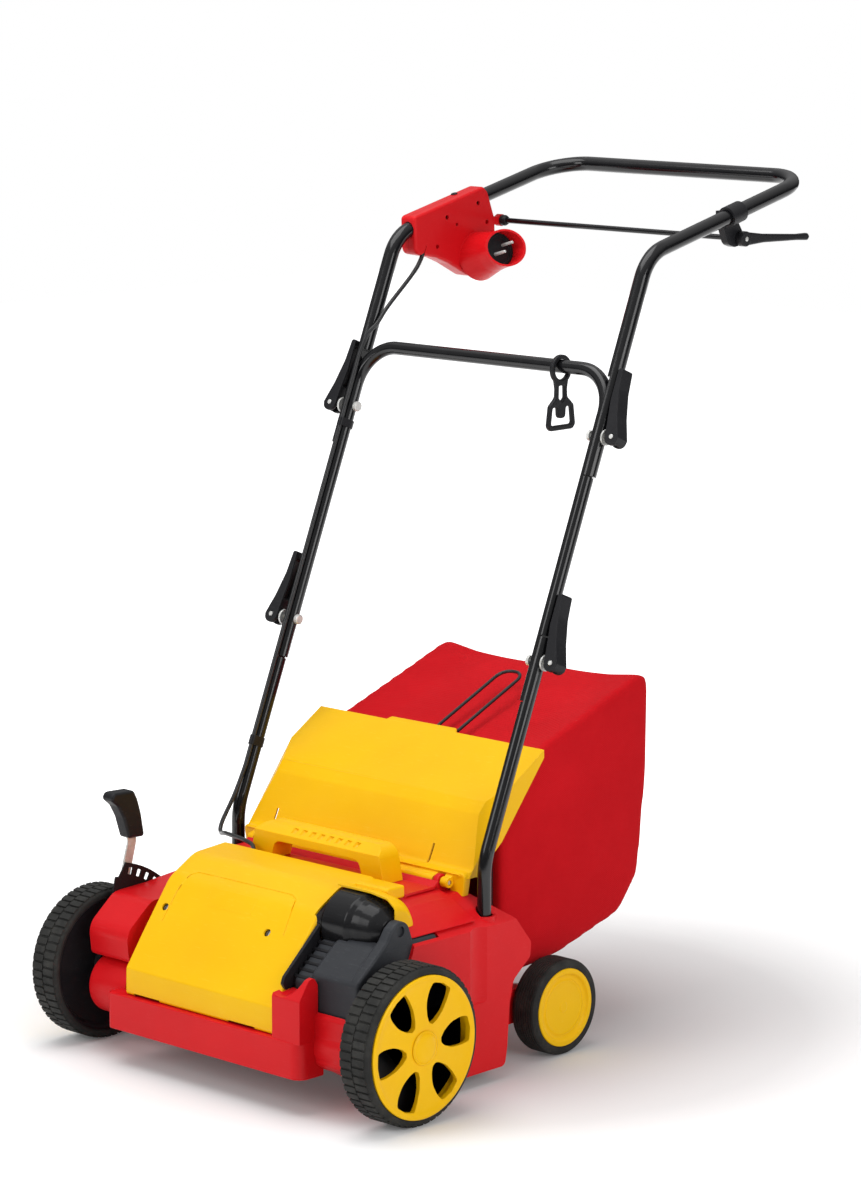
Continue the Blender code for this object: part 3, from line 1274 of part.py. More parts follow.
def switch_box(body, button_body, finishes):
    split = -LOW_X
    channel_path = upper_frame_path()
    keep = [point for point in channel_path if point[0] < -LOW_X + 1e-4]
    back = soften(plate(BOX_PATH, BOX_BACK_X, BOX_FRONT_X), 0.0025, 1, 60)
    back = sliced(back, split - GAP / 2, -1)
    front = soften(plate(BOX_PATH, BOX_BACK_X, BOX_FRONT_X), 0.0025, 1, 60)
    front = sliced(front, split + GAP / 2, 1)
    room = inset(BOX_PATH, BOX_SHELL)
    back = cut(back, plate(room, BOX_BACK_X + BOX_SHELL, split + 0.01))
    front = cut(front, plate(room, split - 0.01, BOX_FRONT_X - BOX_SHELL))
    tip = INLET_FOOT + INLET_AXIS * INLET_LENGTH
    collar = rod(INLET_FOOT - INLET_AXIS * 0.001, tip, INLET_R, 24)
    collar = sliced(collar, BOX_FRONT_X - BOX_SHELL + 0.0007, 1)
    lug = rod((-0.2060, ROD_Y, ROD_Z), (BOX_FRONT_X - 0.0015, ROD_Y, ROD_Z), 0.0075, 14)
    lug_low = (-0.2055, ROD_Y - 0.0160, ROD_Z - 0.0050)
    lug_arm = block(lug_low, (BOX_FRONT_X - 0.0020, ROD_Y, ROD_Z + 0.0050))
    front = join(front, collar, lug, lug_arm)
    front = cut(front, rod(tip - INLET_AXIS * INLET_DEPTH, tip + INLET_AXIS * 0.01, INLET_BORE_R, 24))
    front = cut(front, rod((-0.2040, ROD_Y, ROD_Z), (-0.10, ROD_Y, ROD_Z), ROD_R + PIN_PLAY, 12))
    cable = upper_cable_path()[:7]
    front = cut(front, tube([cable[0] * 2 - cable[1]] + cable, CABLE_R + GAP, 1))
    front = cut(front, tube(keep, UP_TUBE_R + GAP + 0.0002))
    back = cut(back, tube(keep, UP_TUBE_R + GAP + 0.0002))
    top, push = button_top(), button_axis()
    back = cut(back, rod(top - push * 0.004, top + push * 0.0045, BUTTON_R + GAP, 14))
    node(front, "switch_box_inner", finishes["red"], body)
    node(back, "switch_box_outer", finishes["red"], body)
    floor = tip - INLET_AXIS * (INLET_DEPTH - GAP)
    insert = rod(floor, floor + INLET_AXIS * 0.008, INLET_BORE_R - GAP - 0.0004, 20)
    across = INLET_AXIS.cross(Vector((0, 0, 1))).normalized()
    for sign in (-1, 1):
        spot = floor + across * (sign * 0.0095)
        pin = rod(spot + INLET_AXIS * 0.002, spot + INLET_AXIS * 0.026, 0.0024, 8, 0.0016)
        insert = join(insert, pin)
    node(insert, "inlet_insert", finishes["black"], body)
    button = rod(top - push * 0.0026, top + push * 0.0015, BUTTON_R, 14)
    node(soften(button, 0.0008, 1, 60), "lock_button", finishes["black"], button_body)


def button_top():
    low, high = Vector(BOX_CORNERS[1]), Vector(BOX_CORNERS[2])
    spot = low.lerp(high, BUTTON_SHARE)
    return Vector((BUTTON_X, *by_elbow(*spot)))


def button_axis():
    along = Vector(BOX_CORNERS[2]) - Vector(BOX_CORNERS[1])
    return Vector((0, along.y, -along.x)).normalized()


def switch_lever(body, finishes):
    bar = rod((-0.2035, ROD_Y, ROD_Z), (0.2120, ROD_Y, ROD_Z), ROD_R, 10)
    flange = rod((BOX_FRONT_X - 0.0010, ROD_Y, ROD_Z), (-0.1890, ROD_Y, ROD_Z), 0.0070, 14)
    hub = rod((0.2010, ROD_Y, ROD_Z), (0.2120, ROD_Y, ROD_Z), 0.0095, 14)
    outline = [
        (ROD_Y + 0.002, ROD_Z + 0.0085),
        by_elbow(0.2238, 0.0126),
        by_elbow(0.3118, 0.0066),
        by_elbow(0.3158, 0.0026),
        by_elbow(0.3118, -0.0019),
        by_elbow(0.2238, 0.0001),
        (ROD_Y + 0.002, ROD_Z - 0.0088),
    ]
    arm = plate(fillet(outline, [0, 0.03, 0.002, 0.002, 0.002, 0.03, 0], 2, True), 0.2030, 0.2100)
    node(join(bar, flange, hub, arm), "switch_lever", finishes["black"], body)


def lever_bracket(body, finishes):
    centre_y = ROD_Y - 0.0250
    centre = Vector((LOW_X, centre_y, arm_z(centre_y)))
    half = ALONG_ARM * 0.013
    ring = rod(centre - half, centre + half, UP_TUBE_R + 0.0035, 20)
    web_outline = [
        (centre_y - 0.0120, centre.z - 0.004),
        (centre_y + 0.0140, centre.z),
        (ROD_Y + 0.007, ROD_Z + 0.006),
        (ROD_Y + 0.005, ROD_Z - 0.008),
        (ROD_Y - 0.010, ROD_Z - 0.010),
        (centre_y + 0.0020, ROD_Z - 0.006),
    ]
    web_path = fillet(web_outline, [0, 0, 0.004, 0.004, 0.004, 0.006], 2, True)
    web = soften(plate(web_path, 0.1910, 0.2005), 0.001, 1, 60)
    low, high = centre.z - 0.012, centre.z + 0.004
    neck = block((0.1910, centre_y - 0.0110, low), (0.2060, centre_y + 0.0140, high))
    bracket = join(ring, web, neck)
    arm = [point for point in upper_frame_path() if point[0] > LOW_X - 1e-4]
    bore = tube(arm, UP_TUBE_R + GAP + 0.0002)
    rod_hole = rod((0.18, ROD_Y, ROD_Z), (0.2100, ROD_Y, ROD_Z), ROD_R + PIN_PLAY, 12)
    node(cut(bracket, bore, rod_hole), "lever_bracket", finishes["black"], body)


def cable_at(z):
    """A point of the cable where it lies along the front of the handle tubes, level with a height on them."""
    return Vector((CABLE_X, handle_y(z), z)) + AHEAD_OF_HANDLE * CABLE_AHEAD


CABLE_EXIT = Vector((-0.2005, *by_elbow(0.0363, -0.0279)))


def beside_tube(x, z, ahead):
    return Vector((x, handle_y(z), z)) + AHEAD_OF_HANDLE * ahead


def upper_cable_path():
    high = [
        CABLE_EXIT + Vector((0, 0.0030, 0.0060)),
        CABLE_EXIT - Vector((0, 0.0020, 0.0060)),
        Vector((-0.1985, *by_elbow(0.0168, -0.0514))),
        beside_tube(-0.1945, 0.8800, -0.0040),
        beside_tube(-0.1958, 0.8550, 0.0060),
        beside_tube(-0.2010, 0.8400, 0.0118),
        cable_at(0.815),
    ]
    return smooth(high, 3) + [cable_at(CABLE_SPLIT_Z) + UP_HANDLE * (GAP / 2)]


def smooth(points, steps):
    """Points along a smooth curve through the given ones."""
    spots = [Vector(point) for point in points]
    spots = [spots[0] * 2 - spots[1]] + spots + [spots[-1] * 2 - spots[-2]]
    made = []
    for a, b, c, d in zip(spots, spots[1:], spots[2:], spots[3:]):
        for k in range(steps):
            t = k / steps
            bend = (2 * a - 5 * b + 4 * c - d) * t**2 + (3 * b - a - 3 * c + d) * t**3
            made.append(0.5 * (2 * b + (c - a) * t + bend))
    return made + [spots[-2]]


def lower_cable_path():
    low = [
        cable_at(0.318),
        Vector((-0.2065, 0.1780, 0.2850)),
        Vector((-0.2090, 0.1580, 0.2520)),
        Vector((-0.2000, 0.1470, 0.2420)),
        Vector((-0.1660, 0.1240, 0.2500)),
        Vector((-0.1200, 0.1100, 0.2520)),
        Vector((-0.0980, 0.1040, 0.2490)),
        Vector((-0.0840, 0.0900, 0.2400)),
    ]
    return [cable_at(LOW_PIN_Z) - UP_HANDLE * (GAP / 2), cable_at(0.372)] + smooth(low, 3)


def motor_cable(low_body, middle_body, upper_body, finishes):
    node(tube(upper_cable_path(), CABLE_R, 1), "motor_cable_upper", finishes["wire"], upper_body)
    split = UP_HANDLE * (GAP / 2)
    middle = [cable_at(CABLE_SPLIT_Z) - split, cable_at(0.63), cable_at(LOW_PIN_Z) + split]
    node(tube(middle, CABLE_R, 1), "motor_cable_middle", finishes["wire"], middle_body)
    node(tube(lower_cable_path(), CABLE_R, 1), "motor_cable_lower", finishes["wire"], low_body)


def handle_section(z):
    """The plane across the handle at a height: X is the machine's, and Y points to the front of the handle."""
    frame = Matrix((
        (1, 0, 0, 0),
        (0, AHEAD_OF_HANDLE.y, UP_HANDLE.y, 0),
        (0, AHEAD_OF_HANDLE.z, UP_HANDLE.z, 0),
        (0, 0, 0, 1),
    ))
    frame.translation = Vector((0, handle_y(z), z))
    return frame


def cable_clip(tube_x, z, tube_r, name, body, finishes):
    frame = handle_section(z)
    cable = (CABLE_X, CABLE_AHEAD)
    axis = (tube_x, 0.0)
    outline = hull_of_circles(axis, tube_r + CLIP_T, cable, CABLE_R + 0.0016, 8)
    tube_hole = arc(axis, tube_r + GAP + 0.0002, 0, 345, 23)
    cable_hole = arc(cable, CABLE_R + GAP, 0, 330, 11)
    clip = plate([outline, tube_hole, cable_hole], -0.006, 0.006, frame)
    node(clip, name, finishes["black"], body)


def joint_clip(body, finishes):
    """A saddle round the inner side of the middle frame's flattened tube, with the cable in front of it."""
    z = JOINT_CLIP_Z
    bore_r = LOW_TUBE_R + GAP
    frame = handle_section(z)
    outline = hull_of_circles((-MID_X, 0.0), bore_r + CLIP_T, (CABLE_X, CABLE_AHEAD), CABLE_R + 0.0016, 8)
    saddle = plate(outline, -0.005, 0.005, frame)
    centre, cable, reach = Vector((-MID_X, handle_y(z), z)), cable_at(z), UP_HANDLE * 0.010
    bore = rod(centre - reach, centre + reach, bore_r, 24)
    cable_hole = rod(cable - reach, cable + reach, CABLE_R + GAP, 12)
    face = -LAP_X + GAP / 2
    past_lap = plate([(-0.24, -0.03), (face, -0.03), (face, 0.03), (-0.24, 0.03)], -0.01, 0.01, frame)
    node(cut(saddle, bore, cable_hole, past_lap), "cable_clip_joint", finishes["black"], body)


def cord_hook(body, finishes):
    """The cord relief: a ring on the crossbar, with a neck and a frame below for the cord's loop."""
    y, z = CROSSBAR.y, CROSSBAR.z
    inner_r = 0.0125
    ring_z = z + LOW_TUBE_R + GAP - inner_r
    outer = arc((y, ring_z), 0.0180, -50, 230, 12)
    outer += [(y - 0.0095, ring_z - 0.024), (y - 0.0100, ring_z - 0.034), (y - 0.0215, ring_z - 0.044)]
    outer += [(y - 0.0250, ring_z - 0.0690), (y - 0.0200, ring_z - 0.0745)]
    outer += [(y + 0.0200, ring_z - 0.0745), (y + 0.0250, ring_z - 0.0690), (y + 0.0215, ring_z - 0.044)]
    outer += [(y + 0.0100, ring_z - 0.034), (y + 0.0095, ring_z - 0.024)]
    ring_hole = arc((y, ring_z), inner_r, 0, 345, 23)
    eye = [(y - 0.0052, ring_z - 0.0200), (y - 0.0055, ring_z - 0.0350), (y, ring_z - 0.0400)]
    eye += [(y + 0.0055, ring_z - 0.0350), (y + 0.0052, ring_z - 0.0200)]
    window = [(y - 0.0165, ring_z - 0.0460), (y - 0.0195, ring_z - 0.0682)]
    window += [(y + 0.0195, ring_z - 0.0682), (y + 0.0165, ring_z - 0.0460)]
    window += [(y + 0.0075, ring_z - 0.0460), (y + 0.0065, ring_z - 0.0600)]
    window += [(y - 0.0065, ring_z - 0.0600), (y - 0.0075, ring_z - 0.0460)]
    hook = plate([outer, ring_hole, eye, window], HOOK_X - HOOK_T / 2, HOOK_X + HOOK_T / 2)
    node(hook, "cord_hook", finishes["black"], body)


def main():
    clear_scene()
    new_collection(PARTS)
    cutters = new_collection(CUTTERS)
    finishes = make_materials()
    machine = empty("machine", (0, 0, 0))
    depth = empty("depth_pivot", (0, PIVOT_Y, PIVOT_Z), machine)
    crank_axle(depth, finishes)
    depth_lever(depth, finishes)
    depth_sector(machine, finishes)
    for side, label in ((-1, "left"), (1, "right")):
        front = empty(f"front_wheel_pivot_{label}", (side * FRONT_IN_X, 0, FRONT_R), depth)
        front_wheel(side, label, front, finishes)
        rear = empty(f"rear_wheel_pivot_{label}", (side * REAR_IN_X, REAR_Y, REAR_R), machine)
        rear_wheel(side, label, rear, finishes)
    rear_axle(machine, finishes)
    chassis(machine, finishes)
    motor_cover(machine, finishes)
    cover_screws(machine, finishes)
    carry_handle(machine, finishes)
    roller = empty("roller_pivot", (0, ROLLER_Y, ROLLER_Z), machine)
    rotor = empty("rotor_pivot", (0, MOTOR_Y, MOTOR_Z), machine)
    motor(machine, rotor, finishes)
    belt_cover(machine, finishes)
    blade_roller(roller, finishes)
    bearings(machine, finishes)
    belt_drive(machine, rotor, roller, finishes)
    flap = empty("flap_pivot", (0, FLAP_Y, FLAP_Z), machine)
    rear_flap(flap, finishes)
    flap_rod(machine, finishes)
    bag = empty("bag_hang", (0, 0.2620, 0.2750), machine)
    catcher_bag(bag, finishes)
    bag_frame(bag, finishes)
    lower_tubes(machine, finishes)
    middle = empty("middle_fold", LOW_PIN, machine)
    upper = empty("upper_fold", UP_PIN, middle)
    middle_frame(middle, finishes)
    upper_frame(upper, finishes)
    for level, pin, bolt_body in (("lower", LOW_PIN, machine), ("upper", UP_PIN, middle)):
        for side, label in ((-1, "left"), (1, "right")):
            lever = empty(f"cam_pivot_{level}_{label}", (side * CAM_PIN_X, pin.y, pin.z), bolt_body)
            cam_clamp(side, pin, f"{level}_{label}", bolt_body, lever, finishes)
    button = empty("button_slide", button_top(), upper)
    switch_box(upper, button, finishes)
    rod_pivot = empty("lever_pivot", (0, ROD_Y, ROD_Z), upper)
    switch_lever(rod_pivot, finishes)
    lever_bracket(upper, finishes)
    motor_cable(machine, middle, upper, finishes)
    joint_clip(middle, finishes)
    cable_clip(-LOW_X, 0.3450, LOW_TUBE_R, "cable_clip_lower", machine, finishes)
    hook = empty("hook_pivot", (HOOK_X, CROSSBAR.y, CROSSBAR.z), middle)
    cord_hook(hook, finishes)
    for spare in list(cutters.objects):
        spare.hide_render = True
        spare.display_type = "WIRE"
    machine.location.y = -ROOT_SHIFT
    bpy.context.view_layer.update()


main()
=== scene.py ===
# %% [markdown]
# # A lawn scarifier with a folding handle
# This lesson dresses a finished CAD model of an electric lawn scarifier. The CAD pieces already stand where they
# belong and already move on their joints. Each lesson step looks at one piece of the real machine, says how it could
# be made in Blender, and then makes it over the CAD piece that it stands for.

# %% Load the CAD frame
import json
import math

import bpy
from mathutils import Matrix, Vector

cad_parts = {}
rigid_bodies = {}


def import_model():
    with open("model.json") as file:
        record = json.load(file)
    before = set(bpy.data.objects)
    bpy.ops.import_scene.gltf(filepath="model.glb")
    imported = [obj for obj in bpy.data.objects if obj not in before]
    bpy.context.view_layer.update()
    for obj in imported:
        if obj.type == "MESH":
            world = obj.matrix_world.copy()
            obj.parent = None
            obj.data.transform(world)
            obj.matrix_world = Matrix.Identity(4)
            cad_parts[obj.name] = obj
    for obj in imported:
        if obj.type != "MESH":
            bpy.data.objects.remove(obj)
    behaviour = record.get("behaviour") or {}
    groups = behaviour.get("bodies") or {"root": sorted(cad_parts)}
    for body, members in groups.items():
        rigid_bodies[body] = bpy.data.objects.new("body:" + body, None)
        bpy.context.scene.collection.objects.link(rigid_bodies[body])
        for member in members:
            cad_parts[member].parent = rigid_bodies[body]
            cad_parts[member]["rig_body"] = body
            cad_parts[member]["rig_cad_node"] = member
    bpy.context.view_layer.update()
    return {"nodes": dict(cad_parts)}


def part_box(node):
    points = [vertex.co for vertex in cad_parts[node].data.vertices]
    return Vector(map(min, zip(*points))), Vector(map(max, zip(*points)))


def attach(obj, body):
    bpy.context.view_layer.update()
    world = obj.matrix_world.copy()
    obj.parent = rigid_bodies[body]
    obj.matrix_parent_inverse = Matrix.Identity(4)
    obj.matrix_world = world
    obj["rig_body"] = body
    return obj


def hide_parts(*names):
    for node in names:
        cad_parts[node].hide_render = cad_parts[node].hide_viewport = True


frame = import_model()

# %% [markdown]
# ## The machine's own frame
# Every size below is measured from the front wheels' axle, with the floor at height zero, because that is how the
# machine is drawn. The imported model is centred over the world's origin instead. One shift along Y joins the two: a
# piece is modelled in the machine's frame and moved once, when it is finished.

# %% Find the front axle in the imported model
tyre_low, tyre_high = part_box("front_tyre_right")
AXLE_Y = (tyre_low.y + tyre_high.y) / 2
SHIFT = Vector((0, AXLE_Y, 0))
FRONT_R = 0.095
print(f"front axle at world Y {AXLE_Y:.5f}, height {(tyre_low.z + tyre_high.z) / 2:.4f}")

# %% [markdown]
# ## Camera
# The photograph was taken with a long lens from the machine's front right, a little above it. Circles and straight
# edges in it gave the place, the heading and the lens. A camera looks along its own -Z, so its matrix is built from
# the three directions right, up and back.

# %% Camera at the photograph's view
HEADING, RISE = math.radians(43.366), math.radians(10.248)
PHOTO_WIDTH, FOCAL_PIXELS = 861, 3967.69
back = Vector((math.sin(HEADING) * math.cos(RISE), -math.cos(HEADING) * math.cos(RISE), math.sin(RISE)))
right = Vector((math.cos(HEADING), math.sin(HEADING), 0))
up = back.cross(right)
eye = Vector((3.3026, -3.1800, 1.4072)) + SHIFT
camera_data = bpy.data.cameras.new("camera")
camera_data.sensor_fit = "HORIZONTAL"
camera_data.sensor_width = 36.0
camera_data.lens = 36.0 * FOCAL_PIXELS / PHOTO_WIDTH
camera_data.clip_end = 50
camera = bpy.data.objects.new("camera", camera_data)
bpy.context.scene.collection.objects.link(camera)
camera.matrix_world = Matrix((
    (right.x, up.x, back.x, eye.x),
    (right.y, up.y, back.y, eye.y),
    (right.z, up.z, back.z, eye.z),
    (0, 0, 0, 1),
))
bpy.context.scene.camera = camera
print(f"lens {camera_data.lens:.1f} mm, {eye.length:.2f} m from the middle of the floor")

# %% [markdown]
# ## Building tools
# A fitter's hand tools come first. Each helper is one habit of modelling by hand: select only this, draw a line of
# points, fill it, give it thickness, spin it, cut it, round it. They use Blender's own operators, so each can also be
# tried in the viewport. Operators act on all that is selected, so everything is deselected before each of them.

# %% Selecting and drawing
ALONG_X = Matrix(((0, 0, 1, 0), (1, 0, 0, 0), (0, 1, 0, 0), (0, 0, 0, 1)))
ALONG_Y = Matrix(((1, 0, 0, 0), (0, 0, -1, 0), (0, 1, 0, 0), (0, 0, 0, 1)))


def pick(*pieces):
    """Select only these pieces, the first of them active."""
    bpy.ops.object.select_all(action="DESELECT")
    for piece in pieces:
        piece.select_set(True)
    bpy.context.view_layer.objects.active = pieces[0]


def edit(piece):
    """Enter edit mode with the whole piece selected."""
    pick(piece)
    bpy.ops.object.mode_set(mode="EDIT")
    bpy.ops.mesh.select_mode(type="VERT")
    bpy.ops.mesh.select_all(action="SELECT")


def leave_edit():
    bpy.ops.object.mode_set(mode="OBJECT")


def weld(piece):
    """Merge doubles, then point every face outwards."""
    edit(piece)
    bpy.ops.mesh.remove_doubles(threshold=2e-6)
    bpy.ops.mesh.normals_make_consistent(inside=False)
    leave_edit()
    return piece


def draw_line(name, points):
    """A chain of edges: a small plane is merged to one point, which is then extruded from place to place."""
    spots = [Vector(point) for point in points]
    bpy.ops.object.select_all(action="DESELECT")
    bpy.ops.mesh.primitive_plane_add(size=0.002, location=spots[0])
    line = bpy.context.object
    line.name = line.data.name = name
    bpy.ops.object.transform_apply(location=True, rotation=True, scale=True)
    edit(line)
    bpy.ops.mesh.merge(type="CENTER")
    for here, there in zip(spots, spots[1:]):
        bpy.ops.mesh.extrude_vertices_move(TRANSFORM_OT_translate={"value": there - here})
    leave_edit()
    return line


def fillet(points, radii, segments=6, closed=False):
    """Round the corners of a path of 2D or 3D points. A radius of 0 keeps its corner sharp."""
    spots = [Vector(point).to_3d() for point in points]
    size, count = len(points[0]), len(spots)
    radii = [radii] * count if isinstance(radii, (int, float)) else radii
    made = []
    for i, (spot, radius) in enumerate(zip(spots, radii)):
        if radius == 0 or (not closed and i in (0, count - 1)):
            made.append(spot)
            continue
        before = (spots[i - 1] - spot).normalized()
        after = (spots[(i + 1) % count] - spot).normalized()
        half = before.angle(after) / 2
        centre = spot + (before + after).normalized() * (radius / math.sin(half))
        first = spot + before * (radius / math.tan(half)) - centre
        last = spot + after * (radius / math.tan(half)) - centre
        turn = math.pi - 2 * half
        for k in range(segments + 1):
            from_first, from_last = math.sin((1 - k / segments) * turn), math.sin(k / segments * turn)
            made.append(centre + (first * from_first + last * from_last) / math.sin(turn))
    return [tuple(spot)[:size] for spot in made]


def arc(centre, radius, start, end, steps):
    """Points on a part of a circle, from one angle in degrees to another."""
    angles = [math.radians(start + (end - start) * k / steps) for k in range(steps + 1)]
    return [(centre[0] + radius * math.cos(a), centre[1] + radius * math.sin(a)) for a in angles]


print("a quarter turn drawn in 6 steps:", len(fillet([(0, 0), (1, 0), (1, 1)], 0.5)), "points")

# %% Solids from lines
def plate(name, outline, low, high, plane=ALONG_X):
    """A flat outline filled with one face and extruded from low to high across its plane."""
    piece = draw_line(name, [plane @ Vector((across, rise, low)) for across, rise in outline])
    edit(piece)
    bpy.ops.mesh.edge_face_add()
    thickness = plane.to_3x3() @ Vector((0, 0, high - low))
    bpy.ops.mesh.extrude_region_move(TRANSFORM_OT_translate={"value": thickness})
    leave_edit()
    return weld(piece)


def block(name, low, high):
    """A box between two corners, as a start for cutting and rounding."""
    low, high = Vector(low), Vector(high)
    return plate(name, [(low.y, low.z), (high.y, low.z), (high.y, high.z), (low.y, high.z)], low.x, high.x)


def turned(name, profile, steps, centre, axis=(1, 0, 0), out=(0, 0, 1)):
    """A profile of (radius, distance along the axis) points, spun round the axis as on a lathe.

    An open profile runs from the far end of the axis back, so that its faces look outwards."""
    centre, axis, out = Vector(centre), Vector(axis).normalized(), Vector(out).normalized()
    piece = draw_line(name, [centre + out * radius + axis * along for radius, along in profile])
    edit(piece)
    bpy.ops.mesh.spin(steps=steps, angle=math.tau, center=centre, axis=axis)
    leave_edit()
    return weld(piece)


def pipe(name, points, radius, sides=16, closed=False):
    """A round bar along a path: the drawn line becomes a curve, and its bevel gives it a thickness."""
    points = [Vector(point) for point in points]
    line = draw_line(name, points + points[:1] if closed else points)
    weld(line)
    bpy.ops.object.convert(target="CURVE")
    line = bpy.context.object
    line.data.use_fill_caps = True
    line.data.bevel_depth = radius
    line.data.bevel_resolution = sides // 4 - 1
    bpy.ops.object.convert(target="MESH")
    line = bpy.context.object
    line.name = line.data.name = name
    return weld(line)


def bar(name, start, end, radius, sides=24, end_radius=None):
    """A straight round bar, or a cone, between two points."""
    start, end = Vector(start), Vector(end)
    axis = (end - start).normalized()
    out = axis.orthogonal().normalized()
    last = radius if end_radius is None else end_radius
    return turned(name, [(0, 0), (radius, 0), (last, (end - start).length), (0, (end - start).length)],
                  sides, start, axis, out)


def bar_across(name, start_x, end_x, spot, radius, sides=24, end_radius=None):
    """A round bar that lies across the machine, through one spot of the side view."""
    return bar(name, (start_x, *spot), (end_x, *spot), radius, sides, end_radius)


print("tools: plate, block, turned, pipe, bar, bar_across")

# %% Cutting, joining and rounding
def apply_step(piece, kind, **settings):
    """Add one modifier with these settings and apply it at once."""
    step = piece.modifiers.new(kind.lower(), kind)
    for name, value in settings.items():
        setattr(step, name, value)
    pick(piece)
    bpy.ops.object.modifier_apply(modifier=step.name)
    return piece


def combine(piece, tools, operation):
    for tool in tools:
        apply_step(piece, "BOOLEAN", operation=operation, solver="EXACT", object=tool)
        bpy.data.objects.remove(tool, do_unlink=True)
    return piece


def cut(piece, *tools):
    return combine(piece, tools, "DIFFERENCE")


def join(piece, *tools):
    return combine(piece, tools, "UNION")


def round_edges(piece, width, segments=3, angle=30.0):
    """Round every edge that is sharper than the angle, and clean the slivers that cuts leave behind."""
    edit(piece)
    bpy.ops.mesh.remove_doubles(threshold=2e-5)
    bpy.ops.mesh.dissolve_limited(angle_limit=math.radians(0.5))
    leave_edit()
    apply_step(piece, "BEVEL", width=width, segments=segments, limit_method="ANGLE",
               angle_limit=math.radians(angle), miter_outer="MITER_ARC", use_clamp_overlap=True)
    return piece


def smooth(piece, angle=35.0, even=True):
    """Smooth shading up to an angle. Weighted normals keep large flat faces flat beside their rounded edges."""
    pick(piece)
    bpy.ops.object.shade_smooth_by_angle(angle=math.radians(angle))
    if even:
        apply_step(piece, "WEIGHTED_NORMAL", keep_sharp=True)
    return piece


def shift_by(piece, offset):
    pick(piece)
    bpy.ops.transform.translate(value=offset)
    bpy.ops.object.transform_apply(location=True, rotation=True, scale=True)
    return piece


def slice_off(piece, spot, normal):
    """Cut a piece by a plane, drop what lies on the normal's side, and close the cut."""
    edit(piece)
    bpy.ops.mesh.bisect(plane_co=spot, plane_no=normal, use_fill=True, clear_outer=True)
    leave_edit()
    return piece


def copied(piece, name):
    """A copy with a mesh of its own, left as the only selected piece."""
    pick(piece)
    bpy.ops.object.duplicate()
    copy = bpy.context.object
    copy.name = copy.data.name = name
    return copy


def mirrored(piece, name):
    """A copy on the machine's other side, with its faces turned out again."""
    copy = copied(piece, name)
    bpy.ops.transform.resize(value=(-1, 1, 1), center_override=(0, 0, 0))
    bpy.ops.object.transform_apply(location=True, rotation=True, scale=True)
    return weld(copy)


def place(piece, body, finish, *nodes, moved=False):
    """Settle a finished piece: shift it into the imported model's frame, give it its finish and its body."""
    if not moved:
        shift_by(piece, SHIFT)
    piece.data.materials.clear()
    piece.data.materials.append(finishes[finish])
    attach(piece, body)
    if nodes:
        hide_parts(*nodes)
    size = piece.dimensions * 1000
    print(f"{piece.name}: {size.x:.0f} x {size.y:.0f} x {size.z:.0f} mm, {len(piece.data.polygons)} faces")
    return piece


def place_pair(piece, body, finish, node):
    """Place a piece of the right side, and its mirror image on the left."""
    place(piece, f"{body}_right", finish, f"{node}_right")
    left = mirrored(piece, piece.name.replace("right", "left"))
    place(left, f"{body}_left", finish, f"{node}_left", moved=True)


def traced(node_name, name, width):
    """A copy of a CAD node's mesh, merged, cleaned and rounded, for a shape that only needs a finer surface."""
    copy = copied(frame["nodes"][node_name], name)
    bpy.ops.object.parent_clear(type="CLEAR_KEEP_TRANSFORM")
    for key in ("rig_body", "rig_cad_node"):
        if key in copy:
            del copy[key]
    edit(copy)
    bpy.ops.mesh.remove_doubles(threshold=1e-5)
    bpy.ops.mesh.dissolve_limited(angle_limit=math.radians(0.5))
    leave_edit()
    apply_step(copy, "BEVEL", width=width, segments=2, limit_method="ANGLE", angle_limit=math.radians(30.0),
               use_clamp_overlap=True)
    return smooth(copy)


print("tools: cut, join, round_edges, smooth, slice_off, mirrored, place, traced")

# %% [markdown]
# ## Finishes
# The real machine has few materials: injection-moulded red, yellow and black plastic, rubber tyres, powder-coated
# tube, zinc-plated steel and woven bag cloth. Image textures could show them, but a node tree needs no file and works
# at any size. Each finish reads Object coordinates, so that its grain keeps its real scale in metres on every piece.
# Three layers make plastic look moulded: a slow drift of colour, a fine grain in the bump, and edges that are rubbed
# a little paler. A Bevel node finds those edges, because its normal differs from the face's own only near an edge.

# %% Node helpers
finishes, slots = {}, {}


def new_finish(name, slot):
    """An empty Principled material, kept by its short name together with the record's slot."""
    finish = bpy.data.materials.new(name)
    finish.use_nodes = True
    finishes[name], slots[name] = finish, slot
    return finish.node_tree, finish.node_tree.nodes["Principled BSDF"]


def add_node(tree, kind, inputs=None, **settings):
    """A node with its settings, and with each input given as a value or as the socket that feeds it."""
    made = tree.nodes.new("ShaderNode" + kind)
    for name, value in settings.items():
        setattr(made, name, value)
    for key, value in (inputs or {}).items():
        if isinstance(value, bpy.types.NodeSocket):
            tree.links.new(value, made.inputs[key])
        else:
            made.inputs[key].default_value = value
    return made


def place_of(tree, stretch=(1, 1, 1)):
    """Object coordinates, stretched where a pattern is longer one way than another."""
    where = add_node(tree, "TexCoord").outputs["Object"]
    return add_node(tree, "Mapping", {"Vector": where, "Scale": stretch}).outputs["Vector"]


def noise(tree, where, scale, detail=3.0, rough=0.5):
    inputs = {"Vector": where, "Scale": scale, "Detail": detail, "Roughness": rough}
    return add_node(tree, "TexNoise", inputs).outputs["Fac"]


def remap(tree, value, low, high, to_low=0.0, to_high=1.0):
    inputs = {"Value": value, "From Min": low, "From Max": high, "To Min": to_low, "To Max": to_high}
    return add_node(tree, "MapRange", inputs).outputs["Result"]


def blend_colours(tree, share, first, second):
    mix = add_node(tree, "Mix", {"Factor": share}, data_type="RGBA")
    for socket, colour in ((6, first), (7, second)):
        if isinstance(colour, bpy.types.NodeSocket):
            tree.links.new(colour, mix.inputs[socket])
        else:
            mix.inputs[socket].default_value = (*colour, 1)
    return mix.outputs[2]


